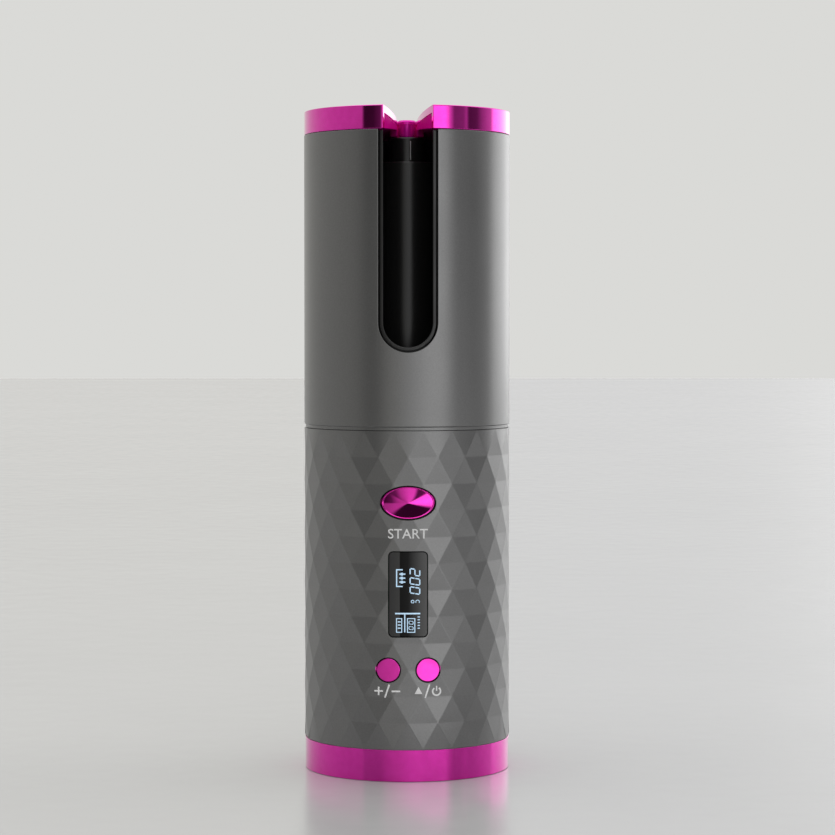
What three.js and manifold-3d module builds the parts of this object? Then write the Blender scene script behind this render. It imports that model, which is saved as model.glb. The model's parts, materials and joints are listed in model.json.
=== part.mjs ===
// Automatic hair curler: a cordless upright cylinder with a faceted handle below and a curling chamber above.
// Millimetres, +Z up along the long axis, origin at the centre of the foot, slot and buttons facing -Y.
import * as THREE from "three";
import { mergeVertices } from "three/addons/utils/BufferGeometryUtils.js";
import Module from "manifold-3d";

const wasm = await Module();
wasm.setup();

// ---------- driving dimensions ----------
const bodyRadius = 32;
const bodyHeight = 204;
const gap = 0.3; // clearance between two pieces that touch on the real object
const bite = 0.1; // how far two joined bodies run into each other
const beyond = 1; // how far a cutting body runs past the face it opens
const shellSegments = 64; // a multiple of 4, so the shells reach the full radius on both axes
const ringSegments = 40;
const innerSegments = 24;
const smallSegments = 12;

// Heights of the outer pieces, from the table up.
const footBottom = 0;
const ringBottom = 0.5;
const ringTop = 9.4;
const handleBottom = ringTop + gap;
const handleTop = 106.05;
const housingBottom = handleTop + gap;
const capBottom = 196.8;
const housingTop = capBottom - gap;
const seamHeight = 0.95; // the recessed band at the foot of the housing
const seamDepth = 0.4;

// Radii of the shells, from the outside in.
const ringRadius = 31.85;
const handleBore = 29.6;
const housingBore = 29.9;
const linerOuter = housingBore - gap;
const linerInner = 27.2;
const sleeveOuter = 26.8;
const sleeveInner = 25.3;

// Facets of the handle: rows of triangles between rings of corners.
const facetColumns = 22;
const facetRows = 12;

// Hair slot.
const slotHalfWidth = 9;
const slotBottom = 129.66;
const linerSlotHalfWidth = 7.47;
const linerRimRadius = 31.3;
const sleeveSlotHalfWidth = 8.2;

// Barrel.
const barrelRadius = 9;
const barrelWall = 1.4;
const barrelTop = 188.3;
const insulatorRadius = 5.6;
const barrelEdge = 1.2;
const barrelLip = 1.4;
const insulatorTop = 196;
const insulatorBore = 1.3;
const tipHeadRadius = 3;
const tipHeadBottom = 200;
const tipTop = 201.5;
const tipNeckBottom = 2.15; // radius at the foot of the neck
const tipNeckTop = 2.85; // radius under the head
const tipPinRadius = 1;
const tipPinLength = 6;
const heaterBottom = 128;
const heaterTop = 182;
const heaterPlateHalf = 1.6;
const heaterPlateHalfWidth = 5;
const sensorDepth = 4.6;
const sensorRadius = 0.9;
const sensorBottom = heaterBottom + 14;
const sensorTop = heaterBottom + 25;

// Cap and the disc that turns under it.
const capSkirtInner = 30.4;
const capHoleRadius = 4.2;
const capHoleTop = 201.6;
const capHoleBottom = 199.5;
const capFieldBottom = 201.5; // underside of the plate where it meets the skirt
const entryMouth = 7.6; // half width at the rim
const entryThroat = 3.1; // half width at the tip
const entryMouthFront = 31.4;
const entryThroatFront = 4.5;
const entryBend = { x: 4, y: -18 };
const sleeveTop = 196.7;
const clawRadius = 30.1;
const clawRimTop = 201.15;
const clawHubRadius = 5.3;
const clawHubBore = 3.6;
const clawHubTop = 199.15;
const clawWebBottom = 198.2;

// Deck that carries the barrel, the rotor and the gear motor.
const wireBore = 5;
const mountStemRadius = 10;
const mountFlangeRadius = 15;
const mountCupTop = 127;
const mountCupWall = 2;
const spigotInner = 27.4;
const spigotBottom = 100;
const bearingInner = 23.8;
const pilotRadius = 1.3;
const smallScrewRadius = 1;
const smallHeadRadius = 1.8;
const smallHeadHeight = 1.1;
const mountScrewReach = 6;
const motorScrewReach = 4;
const deckBottom = 106.6;
const deckTop = 109.1;
const bearingTop = 110.6;
const gearBottom = bearingTop + gap;
const gearTop = 117.2;
const cupBottom = gearTop + gap;
const cupFloor = 1.4;
const barrelBottom = cupBottom + cupFloor;
const floorBottom = 120;
const floorTop = 122;

// Gear pair.
const gearModule = 0.75;
const ringTeeth = 60;
const pinionTeeth = 15;
const toothHeight = 0.6; // tip to pitch circle
const toothDepth = 0.9; // pitch circle to root
const toothHalfAngle = THREE.MathUtils.degToRad(20);
const toothPlay = 0.16; // taken off each tooth's width
const ringPitchRadius = (gearModule * ringTeeth) / 2;
const pinionPitchRadius = (gearModule * pinionTeeth) / 2;
const shaftOffset = ringPitchRadius - pinionPitchRadius;
const shaftRadius = 1.5;
const shaftHoleRadius = 3.2;
const shaftDepth = 5.5; // how far the shaft reaches into the gearbox
const pinionInset = 0.4;
const magnetRadius = 0.9;
const magnetHeight = 1.5;
const magnetInset = 0.2;

// Controls on the front of the handle.
const startHeight = 84.4;
const startHalfWidth = 8.2;
const startHalfHeight = 4.95;
const roundHeight = 33.9;
const roundOffset = 6;
const roundRadius = 3.55;
const buttonGap = 0.32;
const buttonTravel = 0.7;
const buttonFace = 31.75;
const startPoint = 31.9; // the middle of START's cone
const startDropAbove = 1.05; // how far the cone falls back to its top and bottom edge
const startDropBeside = 2.1; // and to its left and right edge
const dishRadius = 24;
const dishDepth = 0.25;
const stemRadius = 1.4;
const switchHalf = 3;
const flangeMargin = 0.85;
const flangeFront = -27.3;
const flangeBack = -26.5;
const switchFront = -25;
const stemEnd = switchFront - buttonTravel - 0.2; // a fully pressed key just clears its switch
const displayHeight = 56.84;
const displayWidth = 11.5;
const displayLength = 25.5;
const displayCorner = 1.2;
const windowFace = 31.8;
const windowBack = -27.3;
const windowFlangeFront = -28.4;
const windowFlangeMargin = 1.2;
const holderFront = -26.9;
const holderMargin = 2;
const holderPlay = 0.4;
const panelFront = -26.7;
const panelPlay = 0.6;

// Electronics and batteries inside the handle.
const boardFront = -23.4;
const boardBack = -21.8;
const boardHalfWidth = 16.5;
const boardBottom = 24;
const boardTop = 96;
const cellRadius = 9.2;
const cellLength = 65;
const cellOffset = 9.7;
const cellDepth = 10.5;
const trayFloorBottom = 10.5;
const trayFloorTop = 12.5;
const contactThickness = 0.5;
const cellBottom = trayFloorTop + contactThickness + 2 * gap;
const cellTop = cellBottom + cellLength;
const shelfBottom = cellTop + contactThickness + 2 * gap;
const shelfTop = shelfBottom + 1.5;
const spineFront = -1;
const spineBack = 0.8;
const railHalfWidth = 18.8;
const railThickness = 1.6;
const cellShoulder = 0.5;
const cellPoleRadius = 2.8;
const contactMargin = 4;
const contactHalfDepth = 3;
const bossRadius = 3.2;

// Gear motor.
const motorDepth = 16;
const motorRadius = 9.5;
const gearboxRadius = 10;
const gearboxBottom = 93.2;
const shaftWellDepth = 6;
const motorPilotDepth = 5;

// Base.
const plateRadius = ringRadius - 2;
const plateTop = 3.2;
const footInner = 22;
const footOuter = 27;
const footTop = 1.2;
const baseScrewRadius = 18;
const screwHeadRadius = 2.2;
const screwHeadBottom = 0.8;
const screwHeadTop = 1.8;
const screwShankRadius = 1.1;
const screwShankTop = 8.5;
const screwHoleRadius = 1.4;
const screwSeatTop = screwHeadTop + gap;
const portBottom = 0.9;
const portHeight = 8;
const portWidth = 9;
const portThickness = 3.3;
const portWall = 0.35;
const portCorner = 1.6;
const tongueHalfWidth = 3.2;
const tongueHalfThickness = 0.35;
const smallBoardHalfWidth = 12;
const smallBoardHalfDepth = 7;
const smallBoardThickness = 1.2;

// ---------- colours and finishes ----------
const finishes = {
  chrome: { color: 0xc8309c, roughness: 0.12, metalness: 1 },
  satinGrey: { color: 0x6a6a6a, roughness: 0.42, metalness: 0.6 },
  blackPlastic: { color: 0x141414, roughness: 0.5, metalness: 0 },
  darkPlastic: { color: 0x2b2b2d, roughness: 0.6, metalness: 0 },
  rubber: { color: 0x1c1c1c, roughness: 0.9, metalness: 0 },
  ceramic: { color: 0x101012, roughness: 0.25, metalness: 0.1 },
  aluminium: { color: 0xb9bcc0, roughness: 0.4, metalness: 1 },
  steel: { color: 0xa9abb0, roughness: 0.35, metalness: 1 },
  board: { color: 0x1e5a38, roughness: 0.6, metalness: 0 },
  acetal: { color: 0xe9e6dc, roughness: 0.5, metalness: 0 },
  cellWrap: { color: 0x2f6fb0, roughness: 0.45, metalness: 0 },
  glass: { color: 0x08090b, roughness: 0.06, metalness: 0 },
};

// ---------- geometry helpers ----------
// A closed three.js geometry as a manifold-3d solid.
function solid(geometry) {
  const bare = new THREE.BufferGeometry();
  bare.setAttribute("position", geometry.getAttribute("position"));
  bare.setIndex(geometry.getIndex());
  const merged = mergeVertices(bare, 1e-4);
  return new wasm.Manifold(
    new wasm.Mesh({
      numProp: 3,
      vertProperties: merged.attributes.position.array,
      triVerts: new Uint32Array(merged.index.array),
    }),
  );
}

// A profile of [radius, height] corners turned round the Z axis, or round a parallel axis at (x, y).
function turned(profile, segments, x = 0, y = 0) {
  const corners = profile.map(([r, z]) => new THREE.Vector2(r, z));
  if (THREE.ShapeUtils.area(corners) < 0) corners.reverse();
  corners.push(corners[0].clone());
  const geometry = new THREE.LatheGeometry(corners, segments);
  geometry.rotateX(Math.PI / 2);
  geometry.translate(x, y, 0);
  return solid(geometry);
}

function rod(radius, bottom, top, segments, x = 0, y = 0) {
  const profile = [
    [0, bottom],
    [radius, bottom],
    [radius, top],
    [0, top],
  ];
  return turned(profile, segments, x, y);
}

function tube(outer, inner, bottom, top, segments, x = 0, y = 0) {
  const profile = [
    [inner, bottom],
    [outer, bottom],
    [outer, top],
    [inner, top],
  ];
  return turned(profile, segments, x, y);
}

// A block between two opposite corners.
function block(low, high) {
  const size = high.map((value, i) => value - low[i]);
  const geometry = new THREE.BoxGeometry(...size);
  geometry.translate(...low.map((value, i) => value + size[i] / 2));
  return solid(geometry);
}

// An outline drawn in plan and raised from bottom to top.
function raised(shape, bottom, top, curveSegments = 8) {
  const depth = top - bottom;
  const geometry = new THREE.ExtrudeGeometry(shape, { depth, bevelEnabled: false, curveSegments });
  geometry.translate(0, 0, bottom);
  return solid(geometry);
}

// An outline drawn as seen from the front (x across, z up) and run through from front to back.
function through(shape, front, back, curveSegments = 8) {
  const depth = back - front;
  const geometry = new THREE.ExtrudeGeometry(shape, { depth, bevelEnabled: false, curveSegments });
  geometry.rotateX(Math.PI / 2);
  geometry.translate(0, back, 0);
  return solid(geometry);
}

function roundedOutline(width, height, corner, x = 0, y = 0) {
  const right = width / 2;
  const top = height / 2;
  const shape = new THREE.Shape();
  shape.moveTo(x - right + corner, y - top);
  shape.lineTo(x + right - corner, y - top);
  shape.absarc(x + right - corner, y - top + corner, corner, -Math.PI / 2, 0);
  shape.lineTo(x + right, y + top - corner);
  shape.absarc(x + right - corner, y + top - corner, corner, 0, Math.PI / 2);
  shape.lineTo(x - right + corner, y + top);
  shape.absarc(x - right + corner, y + top - corner, corner, Math.PI / 2, Math.PI);
  shape.lineTo(x - right, y - top + corner);
  shape.absarc(x - right + corner, y - top + corner, corner, Math.PI, 1.5 * Math.PI);
  return shape;
}

function ellipseOutline(halfWidth, halfHeight, x, z) {
  const shape = new THREE.Shape();
  shape.absellipse(x, z, halfWidth, halfHeight, 0, 2 * Math.PI);
  return shape;
}

// The slot outline seen from the front: straight sides up from a half-round bottom.
function slotOutline(halfWidth, bottom, top) {
  const shape = new THREE.Shape();
  shape.moveTo(-halfWidth, top);
  shape.lineTo(-halfWidth, bottom + halfWidth);
  shape.absarc(0, bottom + halfWidth, halfWidth, Math.PI, 2 * Math.PI);
  shape.lineTo(halfWidth, top);
  return shape;
}

function joined(...pieces) {
  return pieces.reduce((whole, piece) => whole.add(piece));
}

function cut(piece, ...tools) {
  return tools.reduce((rest, tool) => rest.subtract(tool), piece);
}

// A wire that runs smoothly through the given points.
function wire(points) {
  const wireRadius = 0.7;
  const path = new THREE.CatmullRomCurve3(points.map((point) => new THREE.Vector3(...point)));
  const section = ellipseOutline(wireRadius, wireRadius, 0, 0);
  return solid(new THREE.ExtrudeGeometry(section, { extrudePath: path, steps: 16, curveSegments: 3 }));
}

// Points spaced evenly on a circle, the first at the given angle from +X.
function aroundCircle(count, radius, firstAngle) {
  return Array.from({ length: count }, (_, i) => {
    const angle = firstAngle + (i * 2 * Math.PI) / count;
    return [radius * Math.cos(angle), radius * Math.sin(angle)];
  });
}

// ---------- the assembly ----------
const curler = new THREE.Group();
curler.name = "automatic_hair_curler";

function add(name, piece, finish) {
  const made = piece.getMesh();
  const geometry = new THREE.BufferGeometry();
  geometry.setAttribute("position", new THREE.BufferAttribute(new Float32Array(made.vertProperties), 3));
  geometry.setIndex(new THREE.BufferAttribute(new Uint32Array(made.triVerts), 1));
  const flat = geometry.toNonIndexed();
  flat.computeVertexNormals();
  const mesh = new THREE.Mesh(flat, new THREE.MeshStandardMaterial(finishes[finish]));
  mesh.name = name;
  curler.add(mesh);
}

// ---------- base ----------
const baseScrews = aroundCircle(3, baseScrewRadius, Math.PI / 6);

function baseRing() {
  return tube(ringRadius, plateRadius + gap, ringBottom, ringTop, shellSegments);
}

// The floor of the body: a groove for the foot, three screw seats and the charging inlet's opening.
function basePlate() {
  const play = 0.4;
  const disc = rod(plateRadius, ringBottom, plateTop, shellSegments);
  const groove = tube(footOuter + gap, footInner - gap, footBottom, footTop + gap, ringSegments);
  const inletOutline = roundedOutline(portWidth + 2 * play, portThickness + 2 * play, portCorner + play);
  const inlet = raised(inletOutline, footBottom, plateTop + beyond);
  const seats = baseScrews.flatMap(([x, y]) => [
    rod(screwHeadRadius + play, footBottom, screwSeatTop, smallSegments, x, y),
    rod(screwHoleRadius, footBottom, plateTop + beyond, smallSegments, x, y),
  ]);
  return cut(disc, groove, inlet, ...seats);
}

function baseScrew([x, y]) {
  const slotHalfLength = 1.5;
  const slotHalf = 0.3;
  const slotDepth = 0.4;
  const head = rod(screwHeadRadius, screwHeadBottom, screwHeadTop, smallSegments, x, y);
  const shank = rod(screwShankRadius, screwHeadTop - gap, screwShankTop, smallSegments, x, y);
  const slot = block(
    [x - slotHalfLength, y - slotHalf, screwHeadBottom - bite],
    [x + slotHalfLength, y + slotHalf, screwHeadBottom + slotDepth],
  );
  return cut(joined(head, shank), slot);
}

// The inlet's metal shell with the contact tongue inside, open downward.
function chargePort() {
  const backWall = 1.4;
  const tongueInset = 0.8;
  const outer = roundedOutline(portWidth, portThickness, portCorner);
  const inner = roundedOutline(portWidth - 2 * portWall, portThickness - 2 * portWall, portCorner - portWall);
  const shell = raised(outer, portBottom, portHeight);
  const hollow = raised(inner, portBottom - beyond, portHeight - backWall);
  const tongue = block(
    [-tongueHalfWidth, -tongueHalfThickness, portBottom + tongueInset],
    [tongueHalfWidth, tongueHalfThickness, portHeight - backWall + bite],
  );
  return joined(cut(shell, hollow), tongue);
}

// The board over the inlet, with a charging coil hanging beside it.
function chargeBoard() {
  const bottom = portHeight + gap;
  const coil = { left: 5.2, right: 10.5, front: -4, back: 3, drop: 2.7 };
  const board = block(
    [-smallBoardHalfWidth, -smallBoardHalfDepth, bottom],
    [smallBoardHalfWidth, smallBoardHalfDepth, bottom + smallBoardThickness],
  );
  const winding = block([coil.left, coil.front, bottom - coil.drop], [coil.right, coil.back, bottom + bite]);
  return joined(board, winding);
}

add("rubber_foot", tube(footOuter, footInner, footBottom, footTop, ringSegments), "rubber");
add("base_ring", baseRing(), "chrome");
add("base_plate", basePlate(), "darkPlastic");
baseScrews.forEach((place, i) => add(`base_screw_${i + 1}`, baseScrew(place), "steel"));
add("charge_port", chargePort(), "steel");
add("charge_board", chargeBoard(), "board");

// ---------- handle ----------
// A ring of corners on the handle's surface. Every other ring has a corner facing the front.
function facetCorner(row, column) {
  const turn = row % 2 === 0 ? 0.5 : 0;
  const angle = ((column + turn) * 2 * Math.PI) / facetColumns;
  const height = handleBottom + (row * (handleTop - handleBottom)) / facetRows;
  return [bodyRadius * Math.sin(angle), -bodyRadius * Math.cos(angle), height];
}

// The facets between one ring of corners and the next, as triangles that face out.
function facetRow(row) {
  const triangles = [];
  for (let column = 0; column < facetColumns; column++) {
    const lower = facetCorner(row, column);
    const lowerNext = facetCorner(row, column + 1);
    const upper = facetCorner(row + 1, column);
    const upperNext = facetCorner(row + 1, column + 1);
    if (row % 2 === 0) {
      triangles.push(lower, lowerNext, upperNext, lower, upperNext, upper);
    } else {
      triangles.push(lower, lowerNext, upper, lowerNext, upperNext, upper);
    }
  }
  return triangles;
}

function facetedBar() {
  const triangles = [];
  for (let row = 0; row < facetRows; row++) triangles.push(...facetRow(row));
  for (let column = 0; column < facetColumns; column++) {
    triangles.push([0, 0, handleBottom], facetCorner(0, column + 1), facetCorner(0, column));
    triangles.push([0, 0, handleTop], facetCorner(facetRows, column), facetCorner(facetRows, column + 1));
  }
  const geometry = new THREE.BufferGeometry();
  geometry.setAttribute("position", new THREE.Float32BufferAttribute(triangles.flat(), 3));
  return solid(geometry);
}

function displayOutline(margin) {
  const width = displayWidth + 2 * margin;
  const length = displayLength + 2 * margin;
  return roundedOutline(width, length, displayCorner + margin, 0, displayHeight);
}

function startOutline(margin) {
  return ellipseOutline(startHalfWidth + margin, startHalfHeight + margin, 0, startHeight);
}

function roundOutline(side, margin) {
  const radius = roundRadius + margin;
  return ellipseOutline(radius, radius, side * roundOffset, roundHeight);
}

// The faceted grip, hollow, with its control openings.
function handleShell() {
  const bore = rod(handleBore, handleBottom - beyond, handleTop + beyond, shellSegments);
  const front = -bodyRadius - beyond;
  const back = -handleBore / 2;
  return cut(
    facetedBar(),
    bore,
    through(startOutline(buttonGap), front, back, 10),
    through(displayOutline(gap), front, back, 3),
    through(roundOutline(-1, buttonGap), front, back, 6),
    through(roundOutline(1, buttonGap), front, back, 6),
  );
}

add("handle_shell", handleShell(), "satinGrey");

// ---------- controls ----------
// A button: its cap, a flange behind the wall and a stem to the switch.
function button(cap, flangeOutline, x, height, segments) {
  const flange = through(flangeOutline, flangeFront, flangeBack, segments);
  const stem = through(ellipseOutline(stemRadius, stemRadius, x, height), flangeBack - bite, stemEnd, 5);
  return joined(cap, flange, stem);
}

// START's face is a shallow cone with its point in the middle.
function startButton() {
  const depth = 6;
  const cone = new THREE.ConeGeometry(1, depth, 48);
  cone.rotateX(Math.PI);
  const across = (startHalfWidth * depth) / startDropBeside;
  const upward = (startHalfHeight * depth) / startDropAbove;
  cone.scale(across, 1, upward);
  cone.translate(0, depth / 2 - startPoint, startHeight);
  const cap = through(startOutline(0), -bodyRadius, flangeBack, 8).intersect(solid(cone));
  return button(cap, startOutline(flangeMargin), 0, startHeight, 8);
}

// A round button's face follows the body and is dished.
function roundButton(side) {
  const x = side * roundOffset;
  const reach = 2 * roundRadius;
  const envelope = rod(buttonFace, roundHeight - reach, roundHeight + reach, shellSegments);
  const dish = new THREE.SphereGeometry(dishRadius, 48, 32);
  dish.translate(x, dishDepth - dishRadius - Math.sqrt(buttonFace ** 2 - x ** 2), roundHeight);
  const bar = through(roundOutline(side, 0), -bodyRadius, flangeBack, 6);
  const cap = cut(bar.intersect(envelope), solid(dish));
  return button(cap, roundOutline(side, flangeMargin), x, roundHeight, 6);
}

function switchBody(x, height) {
  const low = [x - switchHalf, switchFront, height - switchHalf];
  const high = [x + switchHalf, boardFront - gap, height + switchHalf];
  return block(low, high);
}

function displayWindow() {
  const low = displayHeight - displayLength;
  const high = displayHeight + displayLength;
  const envelope = rod(windowFace, low, high, shellSegments);
  const lens = through(displayOutline(0), -bodyRadius, windowBack, 3).intersect(envelope);
  const flange = through(displayOutline(windowFlangeMargin), windowFlangeFront, windowBack + bite, 3);
  return joined(lens, flange);
}

function displayHolder() {
  const frame = through(displayOutline(holderMargin), holderFront, boardFront - gap, 3);
  return cut(frame, through(displayOutline(holderPlay), holderFront - beyond, boardFront, 3));
}

function displayPanel() {
  return through(displayOutline(0), panelFront, boardFront - panelPlay, 3);
}

add("start_button", startButton(), "chrome");
add("temperature_button", roundButton(-1), "chrome");
add("power_button", roundButton(1), "chrome");
add("start_switch", switchBody(0, startHeight), "blackPlastic");
add("temperature_switch", switchBody(-roundOffset, roundHeight), "blackPlastic");
add("power_switch", switchBody(roundOffset, roundHeight), "blackPlastic");
add("display_window", displayWindow(), "glass");
add("display_panel", displayPanel(), "blackPlastic");
add("display_holder", displayHolder(), "darkPlastic");

// ---------- electronics, batteries and the tray that carries them ----------
// The board, with its fitted parts as blocks on its back: left, right, bottom and top edge, and height.
function controlBoard() {
  const fitted = [
    { left: -5, right: 5, bottom: 52, top: 62, height: 1.4 }, // processor
    { left: -10, right: -3, bottom: 76, top: 81, height: 1.8 }, // motor driver
    { left: 4, right: 12, bottom: 88, top: 93, height: 5 }, // lead connector
  ];
  const board = block([-boardHalfWidth, boardFront, boardBottom], [boardHalfWidth, boardBack, boardTop]);
  const blocks = fitted.map((part) =>
    block([part.left, boardBack - bite, part.bottom], [part.right, boardBack + part.height, part.top]),
  );
  return joined(board, ...blocks);
}

// Floor with three screw bosses, a spine between board and batteries, side rails and a shelf for the motor.
function chassisTray() {
  const trayRadius = handleBore - gap;
  const floor = rod(trayRadius, trayFloorBottom, trayFloorTop, ringSegments);
  const foot = trayFloorTop - bite;
  const spine = block([-railHalfWidth, spineFront, foot], [railHalfWidth, spineBack, boardTop]);
  const behindSpine = block(
    [-bodyRadius, spineFront, shelfBottom - beyond],
    [bodyRadius, bodyRadius, shelfTop + beyond],
  );
  const shelf = rod(trayRadius, shelfBottom, shelfTop, ringSegments).intersect(behindSpine);
  const rails = [-railHalfWidth, railHalfWidth - railThickness].map((x) =>
    block([x, boardBack + gap, foot], [x + railThickness, spineFront + bite, boardTop]),
  );
  const bosses = baseScrews.map(([x, y]) =>
    rod(bossRadius, plateTop + gap, trayFloorBottom + bite, smallSegments, x, y),
  );
  const pilots = baseScrews.map(([x, y]) =>
    rod(screwHoleRadius, plateTop, screwShankTop + beyond, smallSegments, x, y),
  );
  return cut(joined(floor, spine, shelf, ...rails, ...bosses), ...pilots);
}

function batteryCell(side) {
  const profile = [
    [0, cellBottom],
    [cellRadius, cellBottom],
    [cellRadius, cellTop - 2 * cellShoulder],
    [cellRadius - cellShoulder, cellTop - cellShoulder],
    [cellPoleRadius, cellTop - cellShoulder],
    [cellPoleRadius, cellTop],
    [0, cellTop],
  ];
  return turned(profile, innerSegments, side * cellOffset, cellDepth);
}

function batteryContact(bottom) {
  const halfWidth = cellOffset + contactMargin;
  const low = [-halfWidth, cellDepth - contactHalfDepth, bottom];
  const high = [halfWidth, cellDepth + contactHalfDepth, bottom + contactThickness];
  return block(low, high);
}

add("control_board", controlBoard(), "board");
add("chassis_tray", chassisTray(), "darkPlastic");
add("battery_cell_left", batteryCell(-1), "cellWrap");
add("battery_cell_right", batteryCell(1), "cellWrap");
add("battery_contact_bottom", batteryContact(trayFloorTop + gap), "steel");
add("battery_contact_top", batteryContact(cellTop + gap), "steel");

// ---------- gear motor and deck ----------
const motorScrews = [-8, 8].map((x) => [x, motorDepth - 3]);
const mountScrews = aroundCircle(3, 7.5, -Math.PI / 2);
const sensorPlace = [0, -25.1];

function gearboxCase() {
  const top = deckBottom - gap;
  const body = rod(gearboxRadius, gearboxBottom, top, innerSegments, 0, motorDepth);
  const shaftWell = rod(shaftRadius + gap, top - shaftWellDepth, top + beyond, smallSegments, 0, shaftOffset);
  const pilots = motorScrews.map(([x, y]) =>
    rod(pilotRadius, top - motorPilotDepth, top + beyond, smallSegments, x, y),
  );
  return cut(body, shaftWell, ...pilots);
}

function motorCan() {
  return rod(motorRadius, shelfTop + gap, gearboxBottom - gap, innerSegments, 0, motorDepth);
}

// The disc between handle and chamber, with a spigot down into the handle.
function deckPlate() {
  const bottom = deckBottom - beyond;
  const top = deckTop + beyond;
  const pocket = { halfWidth: 2.6, front: -26.8, back: -23.4, depth: 1.6 };
  const disc = rod(housingBore - gap, deckBottom, deckTop, ringSegments);
  const spigot = tube(handleBore - gap, spigotInner, spigotBottom, deckBottom + bite, ringSegments);
  const wireHole = rod(wireBore, bottom, top, smallSegments);
  const shaftHole = rod(shaftHoleRadius, bottom, top, smallSegments, 0, shaftOffset);
  const screwHoles = [...motorScrews, ...mountScrews].map(([x, y]) =>
    rod(pilotRadius, bottom, top, smallSegments, x, y),
  );
  const sensorPocket = block(
    [-pocket.halfWidth, pocket.front, deckTop - pocket.depth],
    [pocket.halfWidth, pocket.back, top],
  );
  return cut(joined(disc, spigot), wireHole, shaftHole, ...screwHoles, sensorPocket);
}

// A small screw: its head between two heights, and its shank out to an end above or below.
function smallScrew([x, y], headLow, shankEnd) {
  const headHigh = headLow + smallHeadHeight;
  const head = rod(smallHeadRadius, headLow, headHigh, smallSegments, x, y);
  const low = Math.min(shankEnd, headLow);
  const high = Math.max(shankEnd, headHigh);
  return joined(head, rod(smallScrewRadius, low, high, smallSegments, x, y));
}

function motorScrew(place) {
  return smallScrew(place, deckTop + gap, deckBottom - motorScrewReach);
}

function mountScrew(place) {
  return smallScrew(place, deckBottom - gap - smallHeadHeight, deckTop + mountScrewReach);
}

function homeSensor() {
  const [x, y] = sensorPlace;
  const halfWidth = 2;
  const halfDepth = 1.3;
  const low = [x - halfWidth, y - halfDepth, deckTop - halfDepth];
  const high = [x + halfWidth, y + halfDepth, deckTop - gap / 2];
  return block(low, high);
}

add("gearbox_case", gearboxCase(), "aluminium");
add("motor_can", motorCan(), "steel");
add("deck_plate", deckPlate(), "darkPlastic");
motorScrews.forEach((place, i) => add(`motor_screw_${i + 1}`, motorScrew(place), "steel"));
mountScrews.forEach((place, i) => add(`mount_screw_${i + 1}`, mountScrew(place), "steel"));
add("home_sensor", homeSensor(), "blackPlastic");
add("rotor_bearing", tube(linerInner - gap, bearingInner, deckTop + gap, bearingTop, ringSegments), "acetal");

// ---------- gears ----------
// A tooth's half width at a height above its pitch circle: it narrows toward the tip.
function toothHalfWidth(height) {
  return (gearModule * Math.PI) / 4 - toothPlay / 2 - height * Math.tan(toothHalfAngle);
}

// The outline of a gear: four corners a tooth. outward is 1 for an external gear and -1 for an internal one.
function gearOutline(teeth, outward, firstAngle) {
  const pitchRadius = (gearModule * teeth) / 2;
  const pitchAngle = (2 * Math.PI) / teeth;
  const corners = [];
  for (let tooth = 0; tooth < teeth; tooth++) {
    const middle = firstAngle + tooth * pitchAngle;
    for (const [side, height] of [[-1, -toothDepth], [-1, toothHeight], [1, toothHeight], [1, -toothDepth]]) {
      const radius = pitchRadius + outward * height;
      const angle = middle + (side * toothHalfWidth(height)) / radius;
      corners.push(new THREE.Vector2(radius * Math.cos(angle), radius * Math.sin(angle)));
    }
  }
  return corners;
}

// The pinion's tooth points straight back, into a space of the ring gear.
function drivePinion() {
  const outline = new THREE.Shape(gearOutline(pinionTeeth, 1, Math.PI / 2));
  const bottom = gearBottom + pinionInset;
  const top = gearTop - pinionInset - gap;
  const wheel = raised(outline, bottom, top).translate([0, shaftOffset, 0]);
  const bore = rod(shaftRadius + gap, gearBottom - beyond, gearTop + beyond, smallSegments, 0, shaftOffset);
  return cut(wheel, bore);
}

function pinionShaft() {
  return rod(shaftRadius, deckBottom - shaftDepth, gearTop - gap, smallSegments, 0, shaftOffset);
}

// The rotor's foot: teeth inside, plain rim outside, and a pocket for the home magnet below.
function ringGear() {
  const rim = rod(sleeveOuter, gearBottom, gearTop, ringSegments);
  const spaces = new THREE.Shape(gearOutline(ringTeeth, -1, Math.PI / 2 + Math.PI / ringTeeth));
  const pocketTop = gearBottom + magnetInset + magnetHeight + gap;
  const pocket = rod(magnetRadius + gap, gearBottom - beyond, pocketTop, smallSegments, ...sensorPlace);
  return cut(rim, raised(spaces, gearBottom - beyond, gearTop + beyond), pocket);
}

function homeMagnet() {
  const bottom = gearBottom + magnetInset;
  return rod(magnetRadius, bottom, bottom + magnetHeight, smallSegments, ...sensorPlace);
}

add("drive_pinion", drivePinion(), "acetal");
add("pinion_shaft", pinionShaft(), "steel");
add("ring_gear", ringGear(), "acetal");
add("home_magnet", homeMagnet(), "steel");

// ---------- rotor ----------
// The black sleeve that turns round the barrel, slotted for the hair.
function rotorSleeve() {
  const wall = tube(sleeveOuter, sleeveInner, gearTop + gap, sleeveTop, ringSegments);
  const slot = slotOutline(sleeveSlotHalfWidth, slotBottom, sleeveTop + beyond);
  return cut(wall, through(slot, -bodyRadius, -barrelRadius, 8));
}

// The entry seen from above: sides that curve in from the rim to the hole round the tip.
function entryOutline() {
  const front = -bodyRadius - beyond;
  const shape = new THREE.Shape();
  shape.moveTo(entryThroat, 0);
  shape.lineTo(entryThroat, -entryThroatFront);
  shape.quadraticCurveTo(entryBend.x, entryBend.y, entryMouth, -entryMouthFront);
  shape.lineTo(entryMouth, front);
  shape.lineTo(-entryMouth, front);
  shape.lineTo(-entryMouth, -entryMouthFront);
  shape.quadraticCurveTo(-entryBend.x, entryBend.y, -entryThroat, -entryThroatFront);
  shape.lineTo(-entryThroat, 0);
  return shape;
}

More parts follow.
